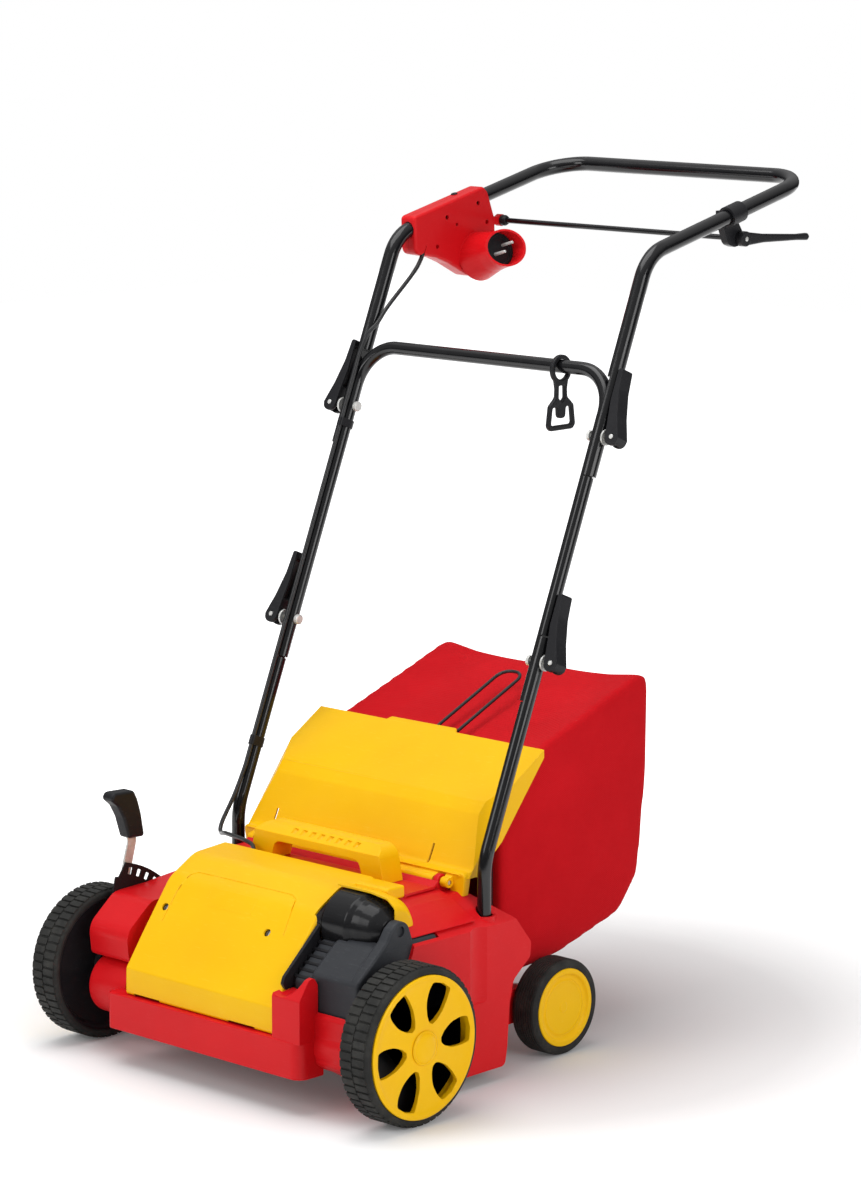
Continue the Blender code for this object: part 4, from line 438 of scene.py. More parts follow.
def times(tree, first, second):
    return add_node(tree, "Math", {0: first, 1: second}, operation="MULTIPLY").outputs[0]


def bump(tree, height, strength, distance):
    inputs = {"Height": height, "Strength": strength, "Distance": distance}
    return add_node(tree, "Bump", inputs).outputs["Normal"]


def edges_of(tree, radius):
    """Near 1 beside a sharp edge and 0 elsewhere."""
    rounded = add_node(tree, "Bevel", {"Radius": radius}, samples=4).outputs["Normal"]
    flat = add_node(tree, "NewGeometry").outputs["Normal"]
    match = add_node(tree, "VectorMath", {0: rounded, 1: flat}, operation="DOT_PRODUCT").outputs["Value"]
    return remap(tree, match, 0.995, 0.80)


print("node helpers ready")

# %% Moulded plastics
def moulded(name, slot, colour, shade, rubbed, roughness, grain):
    """Injection-moulded plastic: drifting colour, fine grain, faint scuffs and paler rubbed edges."""
    tree, shader = new_finish(name, slot)
    where = place_of(tree)
    drift = remap(tree, noise(tree, where, 7.0, 4.0), 0.35, 0.68)
    body = blend_colours(tree, drift, shade, colour)
    scuffs = remap(tree, noise(tree, place_of(tree, (1, 3, 9)), 60.0, 6.0, 0.62), 0.58, 0.80, 0.0, 0.30)
    body = blend_colours(tree, scuffs, body, rubbed)
    worn = times(tree, edges_of(tree, 0.0014), remap(tree, noise(tree, where, 45.0, 4.0), 0.38, 0.66, 0.0, 0.35))
    tree.links.new(blend_colours(tree, worn, body, rubbed), shader.inputs["Base Color"])
    rough = remap(tree, noise(tree, where, 26.0, 5.0, 0.6), 0.3, 0.7, roughness - 0.06, roughness + 0.07)
    tree.links.new(rough, shader.inputs["Roughness"])
    fine = noise(tree, where, 1700.0, 2.0)
    slow = noise(tree, where, 90.0, 2.0)
    relief = add_node(tree, "Math", {0: fine, 1: times(tree, slow, 1.6)}, operation="ADD").outputs[0]
    tree.links.new(bump(tree, relief, grain, 0.0004), shader.inputs["Normal"])
    shader.inputs["Specular IOR Level"].default_value = 0.16


plastics = (  # name, slot, colour, shade, rubbed, roughness, grain
    ("red plastic", "red_plastic", (0.690, 0.008, 0.012), (0.620, 0.006, 0.010), (0.80, 0.06, 0.07), 0.34, 0.10),
    ("yellow plastic", "yellow_plastic", (0.94, 0.540, 0.001), (0.90, 0.490, 0.001), (1.0, 0.72, 0.08), 0.34, 0.10),
    ("black plastic", "black_plastic", (0.016, 0.016, 0.018), (0.010, 0.010, 0.012), (0.08, 0.08, 0.08), 0.38, 0.16),
    ("grey plastic", "grey_plastic", (0.040, 0.043, 0.048), (0.030, 0.032, 0.037), (0.12, 0.12, 0.13), 0.44, 0.16),
    ("glossy black", "black_plastic", (0.014, 0.014, 0.015), (0.010, 0.010, 0.011), (0.06, 0.06, 0.06), 0.17, 0.03),
)
for row in plastics:
    moulded(*row)
print("plastics:", sorted(finishes))

# %% Rubber, paint and metal
def rubber(name, slot, colour, dusty):
    """Tyre rubber: dull and dark, with pale dust in its pores and a slow unevenness."""
    tree, shader = new_finish(name, slot)
    where = place_of(tree)
    dust = remap(tree, noise(tree, where, 38.0, 6.0, 0.65), 0.46, 0.76, 0.0, 0.6)
    worn = times(tree, edges_of(tree, 0.0010), remap(tree, noise(tree, where, 70.0, 3.0), 0.35, 0.7, 0.0, 0.55))
    body = blend_colours(tree, dust, colour, dusty)
    tree.links.new(blend_colours(tree, worn, body, dusty), shader.inputs["Base Color"])
    tree.links.new(remap(tree, noise(tree, where, 55.0, 4.0), 0.3, 0.7, 0.62, 0.82), shader.inputs["Roughness"])
    tree.links.new(bump(tree, noise(tree, where, 900.0, 4.0, 0.6), 0.30, 0.0005), shader.inputs["Normal"])
    shader.inputs["Specular IOR Level"].default_value = 0.25


def powder_coat(name, slot, colour, pale, roughness):
    """Baked gloss paint on tube: a slight orange peel in its relief and small paler rubs scattered by a stretched
    noise.
    """
    tree, shader = new_finish(name, slot)
    where = place_of(tree)
    rubs = remap(tree, noise(tree, place_of(tree, (1, 1, 0.25)), 120.0, 5.0, 0.6), 0.63, 0.82, 0.0, 0.35)
    tree.links.new(blend_colours(tree, rubs, colour, pale), shader.inputs["Base Color"])
    rough = remap(tree, noise(tree, where, 40.0, 4.0), 0.3, 0.7, roughness - 0.05, roughness + 0.08)
    tree.links.new(rough, shader.inputs["Roughness"])
    tree.links.new(bump(tree, noise(tree, where, 520.0, 2.0), 0.08, 0.0004), shader.inputs["Normal"])
    shader.inputs["Specular IOR Level"].default_value = 0.3
    shader.inputs["Coat Weight"].default_value = 0.15
    shader.inputs["Coat Roughness"].default_value = 0.12


def plated(name, slot, colour, dull, roughness, metal=1.0):
    """Zinc-plated or bare steel: metal with fine drawn lines and duller clouds."""
    tree, shader = new_finish(name, slot)
    where = place_of(tree)
    clouds = remap(tree, noise(tree, where, 60.0, 5.0, 0.6), 0.36, 0.70)
    tree.links.new(blend_colours(tree, clouds, colour, dull), shader.inputs["Base Color"])
    lines = noise(tree, place_of(tree, (14, 1, 1)), 240.0, 3.0)
    tree.links.new(remap(tree, lines, 0.3, 0.7, roughness - 0.07, roughness + 0.12), shader.inputs["Roughness"])
    tree.links.new(bump(tree, lines, 0.12, 0.0003), shader.inputs["Normal"])
    shader.inputs["Metallic"].default_value = metal


rubber("tyre rubber", "tyre_rubber", (0.017, 0.017, 0.016), (0.058, 0.056, 0.050))
powder_coat("black tube", "painted_tube", (0.005, 0.005, 0.006), (0.022, 0.022, 0.023), 0.16)
powder_coat("coated wire", "coated_wire", (0.014, 0.014, 0.015), (0.040, 0.040, 0.040), 0.36)
plated("zinc steel", "zinc_steel", (0.70, 0.70, 0.69), (0.50, 0.50, 0.47), 0.38, metal=0.4)
plated("dark steel", "dark_steel", (0.24, 0.24, 0.25), (0.13, 0.13, 0.13), 0.40)
plated("motor winding", "motor_winding", (0.62, 0.27, 0.12), (0.42, 0.17, 0.07), 0.42)
print("finishes so far:", len(finishes))

# %% [markdown]
# ## Woven cloth
# The bag is red polyester cloth. Up close it is a plain weave: warp threads run up, weft threads run across, and each
# hides under the next. Two sets of bands do this: one is stacked along Z, the other runs diagonally through space, so
# that it shows on panels that face any way. Their product is the height for the bump. The real threads are finer than
# a render can show, so the bands are 1.3 mm apart, which reads as cloth and doesn't flicker.

# %% Bag cloth
def woven(name, slot, colour, shade):
    """Plain woven cloth: crossing bands in the relief, slubs, slow clouds of colour, a faint sheen."""
    tree, shader = new_finish(name, slot)
    where = place_of(tree)
    threads = {"Vector": where, "Scale": 240.0, "Distortion": 0.6, "Detail Scale": 2.0}
    warp, weft = (add_node(tree, "TexWave", threads, wave_type="BANDS", bands_direction=way).outputs["Fac"]
                  for way in ("Z", "DIAGONAL"))
    weave = times(tree, warp, weft)
    slubs = noise(tree, place_of(tree, (1, 1, 14)), 60.0, 4.0)
    clouds = remap(tree, noise(tree, where, 8.0, 5.0, 0.6), 0.36, 0.68)
    body = blend_colours(tree, clouds, shade, colour)
    body = blend_colours(tree, remap(tree, weave, 0.0, 1.0, 0.0, 0.22), body, tuple(c * 0.55 for c in colour))
    tree.links.new(body, shader.inputs["Base Color"])
    tree.links.new(remap(tree, slubs, 0.3, 0.7, 0.78, 0.94), shader.inputs["Roughness"])
    relief = add_node(tree, "Math", {0: weave, 1: times(tree, slubs, 0.8)}, operation="ADD").outputs[0]
    tree.links.new(bump(tree, relief, 0.28, 0.0006), shader.inputs["Normal"])
    shader.inputs["Sheen Weight"].default_value = 0.03
    shader.inputs["Sheen Roughness"].default_value = 0.5
    shader.inputs["Specular IOR Level"].default_value = 0.06


woven("bag cloth", "bag_fabric", (0.640, 0.008, 0.014), (0.560, 0.006, 0.011))
print("finishes:", ", ".join(finishes))

# %% [markdown]
# ## Front tyres
# A front tyre is a rubber ring with two rows of tread blocks, set like bricks. Modelling each block alone would leave
# seams, so the ring is spun in 224 steps instead, and the faces that carry blocks are picked by their angle and
# pushed out together. Three steps of block and one of groove make one pitch, and the second row starts half a pitch
# later.

# %% Choosing faces by their place
def choose_faces(piece, test):
    """Enter edit mode with only the faces selected whose centre and normal pass the test."""
    pick(piece)
    mesh = piece.data
    mesh.vertices.foreach_set("select", [False] * len(mesh.vertices))
    mesh.edges.foreach_set("select", [False] * len(mesh.edges))
    chosen = [bool(test(face.center, face.normal)) for face in mesh.polygons]
    mesh.polygons.foreach_set("select", chosen)
    bpy.context.tool_settings.mesh_select_mode = (False, False, True)
    bpy.ops.object.mode_set(mode="EDIT")
    return sum(chosen)


def turn_step(centre, middle, steps):
    """The spin step, counted round the wheel's axle, in which a face's centre lies."""
    angle = math.atan2(centre.z - middle[2], centre.y - middle[1]) % math.tau
    return int(angle / math.tau * steps)


# %% Front tyre with staggered tread
TYRE_STEPS = 224
FRONT_AXLE = (0, 0, FRONT_R)
tyre_section = [
    (0.0848, 0.2442), (0.0855, 0.2432), (0.0890, 0.2431), (0.0914, 0.2440), (0.0926, 0.2456),
    (0.0926, 0.2640), (0.0926, 0.2652), (0.0926, 0.2832), (0.0920, 0.2850), (0.0904, 0.2868),
    (0.0880, 0.2880), (0.0858, 0.2882), (0.0848, 0.2874), (0.0848, 0.2442),
]
front_tyre = turned("front_tyre_rubber_right", tyre_section, TYRE_STEPS, FRONT_AXLE)


def on_block(centre, normal):
    step = turn_step(centre, FRONT_AXLE, TYRE_STEPS)
    inner_row = 0.2456 < centre.x < 0.2640 and step % 4 != 0
    outer_row = 0.2652 < centre.x < 0.2832 and (step + 2) % 4 != 0
    return (inner_row or outer_row) and math.hypot(centre.y, centre.z - FRONT_R) > 0.0915


count = choose_faces(front_tyre, on_block)
bpy.ops.mesh.extrude_region_shrink_fatten(TRANSFORM_OT_shrink_fatten={"value": 0.0021})
leave_edit()
round_edges(front_tyre, 0.00045, 1, 40)
smooth(front_tyre, 38)
place_pair(front_tyre, "front_wheel", "tyre rubber", "front_tyre")
print(count, "faces raised into blocks")

# %% [markdown]
# ## Front wheel cores and hubs
# Behind the tyre sits a black moulded core that closes the wheel on its inner side. The yellow hub is one moulding: a
# rim, six broad spokes between petal-shaped windows, and a dished face. It is lathed first, because everything but
# the windows is round. The windows are then cut with one petal outline, turned six times, and the edges are rounded.

# %% Black core and yellow hub
core_section = [
    (0.0092, 0.2592), (0.0092, 0.2475), (0.0170, 0.2475), (0.0190, 0.2540), (0.0770, 0.2545),
    (0.0812, 0.2470), (0.0846, 0.2450), (0.0846, 0.2700), (0.0832, 0.2700), (0.0832, 0.2575),
    (0.0220, 0.2570), (0.0180, 0.2592), (0.0092, 0.2592),
]
core = turned("front_core_right", core_section, 96, FRONT_AXLE)
round_edges(core, 0.0008, 2, 30)
smooth(core)
place_pair(core, "front_wheel", "black plastic", "front_tyre")

hub_section = [
    (0.0092, 0.2897), (0.0225, 0.2897), (0.0300, 0.2888), (0.0420, 0.2878), (0.0560, 0.2872), (0.0680, 0.2876),
    (0.0752, 0.2888), (0.0782, 0.2903), (0.0805, 0.2908), (0.0832, 0.2908), (0.0847, 0.2896), (0.0847, 0.2888),
    (0.0842, 0.2886), (0.0842, 0.2712), (0.0806, 0.2712), (0.0806, 0.2815), (0.0790, 0.2825), (0.0150, 0.2818),
    (0.0140, 0.2595), (0.0092, 0.2595), (0.0092, 0.2897),
]
hub = turned("front_hub_yellow_right", hub_section, 144, FRONT_AXLE)
PETAL = [(0.0290, 6.0), (0.0360, 14.0), (0.0500, 17.6), (0.0650, 15.2), (0.0762, 12.0)]


def petal(middle):
    """One window's outline: a blunt tip near the hub's middle, bulging sides and a broad outer end."""
    side = [(radius, middle + turn) for radius, turn in PETAL] + [(0.0772, middle)]
    side += [(radius, middle - turn) for radius, turn in reversed(PETAL)]
    points = [(r * math.cos(math.radians(a)), FRONT_R + r * math.sin(math.radians(a))) for r, a in side]
    radii = [0.004, 0.012, 0.030, 0.030, 0.0045, 0, 0.0045, 0.030, 0.030, 0.012, 0.004]
    return fillet(points, radii, 5, closed=True)


cut(hub, *[plate("window", petal(60 * k + 6), 0.279, 0.296) for k in range(6)])
round_edges(hub, 0.0012, 3, 32)
smooth(hub, 32)
place_pair(hub, "front_wheel", "yellow plastic", "front_hub")

cap_section = [
    (0, 0.2900), (0.0200, 0.2900), (0.0205, 0.2908), (0.0200, 0.2917), (0.0186, 0.2921), (0.0176, 0.2914),
    (0.0166, 0.2921), (0.0140, 0.2931), (0.0090, 0.2938), (0.0040, 0.2941), (0, 0.2942),
]
cap = turned("hub_cap_domed_right", cap_section, 64, FRONT_AXLE)
smooth(cap, 50, even=False)
place_pair(cap, "front_wheel", "yellow plastic", "hub_cap")

# %% [markdown]
# ## Rear wheels
# The small rear wheels have a plain tyre with fine rings round its tread, and a yellow disc with a raised ring inside
# a dished rim. Both are round all over, so each is one lathed section, and the rings are drawn into the section.

# %% Rear tyres and discs
REAR_R = 0.0595
REAR_AXLE = (0, 0.3277, REAR_R)
rear_section = [(0.0488, 0.1800), (0.0500, 0.1796), (0.0545, 0.1794), (0.0578, 0.1806), (0.0590, 0.1832)]
for k in range(7):
    start = 0.1846 + 0.0038 * k
    rear_section += [(0.0594, start), (0.0594, start + 0.0026), (0.0583, start + 0.0029), (0.0583, start + 0.0035)]
rear_section += [(0.0592, 0.2116), (0.0582, 0.2138), (0.0560, 0.2152), (0.0530, 0.2157), (0.0500, 0.2155)]
rear_section += [(0.0488, 0.2148), (0.0488, 0.1800)]
rear_tyre = turned("rear_tyre_rubber_right", rear_section, 128, REAR_AXLE)
smooth(rear_tyre, 30)
place_pair(rear_tyre, "rear_wheel", "tyre rubber", "rear_tyre")

disc_section = [
    (0, 0.2128), (0.0060, 0.2128), (0.0068, 0.2122), (0.0300, 0.2124), (0.0318, 0.2132), (0.0330, 0.2134),
    (0.0342, 0.2130), (0.0352, 0.2122), (0.0385, 0.2124), (0.0405, 0.2136), (0.0420, 0.2158), (0.0440, 0.2163),
    (0.0468, 0.2163), (0.0482, 0.2156), (0.0484, 0.2148), (0.0484, 0.1835), (0.0445, 0.1835), (0.0445, 0.2085),
    (0.0130, 0.2080), (0.0130, 0.1825), (0.0052, 0.1825), (0.0052, 0.2095), (0, 0.2095),
]
disc = turned("rear_disc_yellow_right", disc_section, 96, REAR_AXLE)
round_edges(disc, 0.0004, 2, 30)
smooth(disc, 40)
place_pair(disc, "rear_wheel", "yellow plastic", "rear_disc")

# %% [markdown]
# ## Chassis
# The red chassis is one big injection moulding with walls of 3 to 4 mm. Modelled as one mesh, its many curves would
# meet in edges that no bevel can follow. So it is made as the forms that a toolmaker would name: bumper, side boxes,
# crank bosses, corner post, tunnel, deck shoulder, arms and lugs. Each is drawn in profile, extruded, hollowed and
# rounded on its own, and they sit in one another where the mould would blend them.

# %% Places and helpers for the chassis
ALONG_Z = Matrix.Identity(4)
BUMPER_TOP, BOX_WALL, DECK_WALL = 0.089, 0.004, 0.003
ROLLER_AXIS, FLAP_AXIS = (0.085, 0.0625), (0.170, 0.237)
PIVOT = Vector((0, -0.020, 0.080))
CRANK_AXIS = (PIVOT.y, PIVOT.z)
FOOT = Vector((0.210, 0.187, 0.1553))
chassis_parts = []


def chassis_piece(piece, width=0.003, segments=3, angle=30.0):
    if width:
        round_edges(piece, width, segments, angle)
    smooth(piece)
    chassis_parts.append(place(piece, "machine", "red plastic", "chassis"))


def side_plate(name, outline, side, near, far):
    """A plate on one side of the machine, between two distances from its middle."""
    return plate(name, outline, *sorted((side * near, side * far)))


def side_block(name, side, low, high):
    """A box given by its corners on the right, made on either side."""
    first, last = sorted((side * low[0], side * high[0]))
    return block(name, (first, low[1], low[2]), (last, high[1], high[2]))


def band(path, thickness):
    """The outline of a wall of even thickness along a path."""
    spots = [Vector(point) for point in path]
    inner = []
    for i, spot in enumerate(spots):
        before = (spot - spots[i - 1]).normalized() if i else None
        after = (spots[i + 1] - spot).normalized() if i + 1 < len(spots) else None
        run = before or after
        if before and after:
            run = (before + after).normalized()
        grow = 1 / max(0.5, run.dot(before or after))
        inner.append((spot.x + run.y * thickness * grow, spot.y - run.x * thickness * grow))
    return path + inner[::-1]


print("crank pivot", tuple(PIVOT), "tube foot", tuple(FOOT))

# %% Bumper with a soft right-hand corner
bumper_plan = [(-0.1675, -0.0400), (-0.1675, -0.0765), (0.1630, -0.0765), (0.1630, -0.0360)]
bumper = plate("bumper", fillet(bumper_plan, [0, 0.007, 0.016, 0], 6, closed=True), 0.0438, BUMPER_TOP, ALONG_Z)
room_plan = [(-0.1640, 0.01), (-0.1640, -0.0730), (0.1595, -0.0730), (0.1595, 0.01)]
room = plate("room", fillet(room_plan, [0, 0.004, 0.013, 0], 6, closed=True), 0.030, 0.0855, ALONG_Z)
chassis_piece(cut(bumper, room), 0.0034, 4)

# %% Outlines of the side boxes
REAR_OF_BOX = [(0.222, 0.196), (0.251, 0.160), (0.249, 0.142), (0.220, 0.119), (0.213, 0.094), (0.209, 0.039),
               (0.205, 0.016), (0.030, 0.016), (-0.020, 0.044)]
REAR_ROUNDING = [0, 0.006, 0.006, 0.012, 0, 0, 0.008, 0.014, 0.014]
LEFT_BOX = [(-0.012, 0.060), (-0.012, 0.112), (-0.046, 0.119), (-0.050, 0.156), (-0.008, 0.190), (0.048, 0.192),
            (0.105, 0.207), (0.185, 0.227)]
LEFT_ROUNDING = [0.012, 0.006, 0.008, 0.024, 0.026, 0, 0, 0.018]
RIGHT_BOX = [(-0.050, 0.060), (-0.050, 0.1205), (0.030, 0.146), (0.057, 0.216), (0.185, 0.227)]
RIGHT_ROUNDING = [0.012, 0.008, 0.014, 0.010, 0.018]


def lower_shoulder(piece, side, depth):
    """Cut along the sloping plane that lowers a side box's outer top edge."""
    normal = Vector((side * 0.55, 0, 0.835)).normalized()
    return slice_off(piece, Vector((side * 0.205, 0.10, 0.208)) - normal * depth, normal)


def room_corner(side, y, z):
    """A corner of the space in a side box: one wall's thickness in from the box's own corner."""
    upper_from = 0.15 if y > 0.1 else 0.13 if side < 0 else 0.1
    return y + (BOX_WALL if y < 0.1 else -BOX_WALL), z - (BOX_WALL if z > upper_from else -BOX_WALL)


def side_box(side, name, corners, radii):
    outline = fillet(corners + REAR_OF_BOX, radii + REAR_ROUNDING, 6, closed=True)
    box = lower_shoulder(side_plate(name, outline, side, 0.160, 0.228), side, 0)
    room_corners = [room_corner(side, y, z) for y, z in corners + REAR_OF_BOX]
    room = lower_shoulder(side_plate("room", room_corners, side, 0.167, 0.224), side, BOX_WALL)
    return cut(box, room, side_block("under", side, (0.1675, 0.036, 0.004), (0.2235, 0.198, 0.040)))


# %% Side boxes with their tube pockets
left_box = side_box(-1, "left_side_box", LEFT_BOX, LEFT_ROUNDING)
right_box = side_box(1, "right_side_box", RIGHT_BOX, RIGHT_ROUNDING)
cut(right_box, block("belt room", (0.1224, -0.0444, 0.1136), (0.2237, 0.0944, 0.300)),
    block("behind post", (0.1550, -0.0456, 0.1140), (0.2236, -0.0430, 0.3000)))
scoop = bar("scoop", (0.2630, 0.158, 0.1010), (0.2630, 0.158, 0.260), 0.0380, 96)
cut(right_box, round_edges(scoop, 0.004, 3, 50))
for side, box in ((-1, left_box), (1, right_box)):
    foot = Vector((side * FOOT.x, FOOT.y, FOOT.z))
    join(box, bar("socket", foot - Vector((0, 0, 0.006)), foot + Vector((0, 0, 0.0467)), 0.0135, 32))
    cut(box, bar("pocket", foot - Vector((0, 0, 0.0005)), foot + Vector((0, 0, 0.09)), 0.0104, 32),
        bar_across("crank bore", side * 0.15, side * 0.25, CRANK_AXIS, 0.0085))
    chassis_piece(box, 0.0070, 5, 26)

# %% Crank bosses
for side, label, reach, radius in ((-1, "left", 0.2282, 0.037), (1, "right", 0.2356, 0.033)):
    section = fillet([(0.0078, 0.158), (0.0078, reach), (radius - 0.010, reach), (radius, reach - 0.006),
                      (radius, 0.158), (0.0078, 0.158)], [0, 0.001, 0, 0.006, 0, 0], 5)
    boss = turned(f"crank_boss_{label}", section, 72, (0, *CRANK_AXIS), axis=(side, 0, 0))
    if side < 0:
        cut(boss, bar_across("peg hole", -0.24, -0.220, (-0.0377, 0.0997), 0.0030, 16))
    chassis_piece(boss, 0)

# %% Corner post with a hollowed top
post_outline = fillet([(-0.0755, 0.0875), (-0.0755, 0.1395), (-0.0600, 0.1620), (-0.0510, 0.1640), (-0.0452, 0.1540),
                       (-0.0452, 0.0875)], [0, 0.005, 0.007, 0.005, 0.004, 0], 5, closed=True)
post = plate("corner_post", post_outline, 0.1172, 0.1625)
cut(post, bar("hollow", (0.1290, -0.100, 0.1655), (0.1290, -0.020, 0.1735), 0.0280, 72))
cut(post, block("behind cover", (0.110, -0.0633, 0.1402), (0.1222, -0.030, 0.200)))
chassis_piece(post, 0.0028, 4, 32)

# %% Tunnel over the blades, deck with its shoulder, and floor strip
tunnel_path = [(-0.0560, 0.0886), (-0.0480, 0.0886), (-0.030, 0.0995)] + arc(ROLLER_AXIS, 0.0665, 158, 78, 18)
deck_path = fillet([(0.100, 0.140), (0.100, 0.2345), (0.150, 0.2345), (0.1580, 0.2405)], [0, 0.004, 0.003, 0], 5)
tunnel = plate("tunnel_and_deck", band(tunnel_path + deck_path, DECK_WALL), -0.1624, 0.1624)
cut(tunnel, block("belt room", (0.1227, -0.0441, 0.1139), (0.2234, 0.0941, 0.300)))
chassis_piece(tunnel, 0.0006, 2)
shoulder_path = fillet([(0.1080, 0.2338), (0.1500, 0.2338), (0.1800, 0.2245), (0.1950, 0.2170), (0.2205, 0.2025),
                        (0.2205, 0.2012), (0.1080, 0.2012)], [0, 0.030, 0.020, 0.010, 0, 0, 0], 8, closed=True)
chassis_piece(plate("deck_shoulder", shoulder_path, -0.1600, -0.0520, ALONG_Y), 0.0020, 3, 40)
strip_outline = band([(0.146, 0.027), (0.160, 0.036), (0.238, 0.078)], -DECK_WALL)
chassis_piece(plate("rear_floor_strip", strip_outline, -0.162, 0.162), 0.0008, 2)

# %% Rear arms, flap lugs and the ledges under the bag's frame
arm_outline = [(0.190, 0.040), (0.190, 0.088), (0.300, 0.084), (0.338, 0.076), (0.345, 0.056), (0.330, 0.044)]
arm_path = fillet(arm_outline, [0, 0, 0.03, 0.010, 0.010, 0.010], 5, closed=True)
lug_path = arc(FLAP_AXIS, 0.009, 200, -20, 16) + [(0.190, 0.205), (0.150, 0.205)]
for side, label in ((-1, "left"), (1, "right")):
    axle_hole = bar_across("axle hole", side * 0.14, side * 0.18, REAR_AXLE[1:], 0.0054)
    chassis_piece(cut(side_plate(f"rear_arm_{label}", arm_path, side, 0.150, 0.176), axle_hole), 0.003, 3)
    rod_hole = bar_across("rod hole", side * 0.14, side * 0.17, FLAP_AXIS, 0.0034, 20)
    chassis_piece(cut(side_plate(f"flap_lug_{label}", lug_path, side, 0.150, 0.158), rod_hole), 0.0012, 2)
    bridge = side_block(f"lug_bridge_{label}", side, (0.151, 0.152, 0.2005), (0.165, 0.188, 0.212))
    chassis_piece(bridge, 0.0020, 3)
    ledge = side_block(f"bag_ledge_{label}", side, (0.1512, 0.2200, 0.1440), (0.165, 0.2552, 0.1570))
    chassis_piece(ledge, 0.0015, 2)
print(len(chassis_parts), "chassis forms")

# %% [markdown]
# ## Motor cover
# The yellow cover is a thin shell bent in one direction, with two soft creases across its front. On its right it
# carries a hood that arches over the motor's end cap. One profile gives the bent shell: it is filled, extruded across
# the machine and hollowed by the same profile moved inwards. The hood is lathed round the motor's axis, cut down to
# the part that shows, and joined on over a low skirt.

# %% Cover shell
COVER_LEFT, COVER_RIGHT, COVER_WALL = -0.142, 0.116, 0.0025
MOTOR_AXIS = (0.040, 0.207)
cover_path = fillet([(-0.0700, 0.0893), (-0.0692, 0.1222), (-0.0405, 0.1625), (0.0040, 0.222), (0.0450, 0.245),
                     (0.0960, 0.2485)], [0, 0.007, 0.010, 0.040, 0.040, 0], 8)
clear_of_roller = arc(ROLLER_AXIS, 0.0671, 86, 157, 16) + [(-0.0300, 0.1008), (-0.0470, 0.0893)]
cover_outline = cover_path + [(0.0997, 0.2465), (0.0997, 0.1450), (0.0975, 0.1310)] + clear_of_roller
cover = plate("motor_cover_shell", cover_outline, COVER_LEFT, COVER_RIGHT)
inner_path = band(cover_path, COVER_WALL)[len(cover_path):]
hollow = [(0.1200, 0.2340)] + inner_path[1:-1] + [(-0.0676, 0.0700), (0.1200, 0.0500)]
round_edges(cover, 0.0040, 4, 60)
cut(cover, plate("hollow", hollow, COVER_LEFT + COVER_WALL, COVER_RIGHT - COVER_WALL))

# %% Hood over the end cap
hood_section = fillet([(0, 0.2068), (0.0300, 0.2060), (0.0400, 0.1930), (0.0435, 0.1660), (0.0435, 0.1100)],
                      [0, 0.010, 0.012, 0.040, 0], 8)
hood_inside = [(max(0, radius - 0.0024), min(along, 0.2045)) for radius, along in hood_section[::-1]]
hood = turned("hood", hood_section + hood_inside, 96, (0, *MOTOR_AXIS))
cut(hood, block("front half", (0.10, -0.05, 0.10), (0.22, MOTOR_AXIS[0] - 0.001, 0.26)),
    block("lower part", (0.10, 0, 0.10), (0.22, 0.12, 0.1935)),
    block("left end", (0.10, 0, 0.1), (0.1125, 0.12, 0.26)))
round_edges(hood, 0.0009, 2, 60)
skirt_path = fillet([(0.080, 0.2320), (0.062, 0.2445), (0.0720, 0.2475), (0.0985, 0.2470), (0.0985, 0.2320)],
                    [0, 0.004, 0.01, 0.003, 0], 4, closed=True)
join(cover, hood, round_edges(plate("hood_skirt", skirt_path, 0.110, 0.1650), 0.0050, 4, 50))
cut(cover, bar_across("cap room", 0.110, 0.1640, MOTOR_AXIS, 0.0398, 96))

# %% [markdown]
# ## Details of the cover
# A groove frames a panel on the cover's slope. The slope is curved, so the groove's places are looked up on the skin
# itself, a thin round bar is laid through them, and that bar is cut out. Two slots sit in the lower edge, two screws
# in round seats. A thin blank plate lies on the panel. It is a short band of the same skin, so it follows the curve.

# %% Panel groove, slots and screws
slope = Vector((0, 0.0445, 0.0595)).normalized()
slope_out = Vector((0, -slope.z, slope.y))
SCREW_Y, SCREW_XS = -0.0190, (-0.124, 0.052)


def on_cover(x, y):
    """The point of the cover's outer skin above this x and y."""
    for (y1, z1), (y2, z2) in zip(cover_path, cover_path[1:]):
        if y1 <= y <= y2 and y2 > y1:
            return Vector((x, y, z1 + (z2 - z1) * (y - y1) / (y2 - y1)))


groove_spots = [(-0.1180, -0.0300), (-0.1165, -0.0050), (-0.1120, 0.0130), (-0.1040, 0.0185), (-0.0500, 0.0190),
                (0.0100, 0.0190), (0.0560, 0.0190), (0.0680, 0.0140), (0.0740, 0.0000), (0.0790, -0.0180)]
groove_line = [on_cover(x, y) + Vector((0, -0.0002, 0.0002)) for x, y in groove_spots]
cut(cover, pipe("groove", groove_line, 0.0013, 8))
for low, high in ((-0.1266, -0.0818), (0.0357, 0.0819)):
    cut(cover, block("slot", (low, -0.080, 0.080), (high, -0.060, 0.0925)))
for x in SCREW_XS:
    spot = Vector((x, SCREW_Y, 0.19125))
    cut(cover, bar("screw seat", spot - slope_out * 0.0035, spot + slope_out * 0.004, 0.0050, 24))
smooth(cover, 30)
place(cover, "machine", "yellow plastic", "motor_cover")
screw_section = fillet([(0, 0.0012), (0.0022, 0.0010), (0.0040, 0.0004), (0.0044, -0.0010), (0.0044, -0.003),
                        (0, -0.003)], [0, 0, 0.001, 0.0003, 0, 0], 3)
for number, x in enumerate(SCREW_XS, 1):
    spot = on_cover(x, SCREW_Y) - slope_out * 0.0030
    screw = turned(f"cover_screw_head_{number}", screw_section, 32, spot, slope_out, (1, 0, 0))
    cut(screw, block("driver slot", (x - 0.0005, -0.03, 0.150), (x + 0.0005, -0.0150, 0.22)))
    smooth(screw, 40)
    place(screw, "machine", "dark steel", f"cover_screw_{number}")

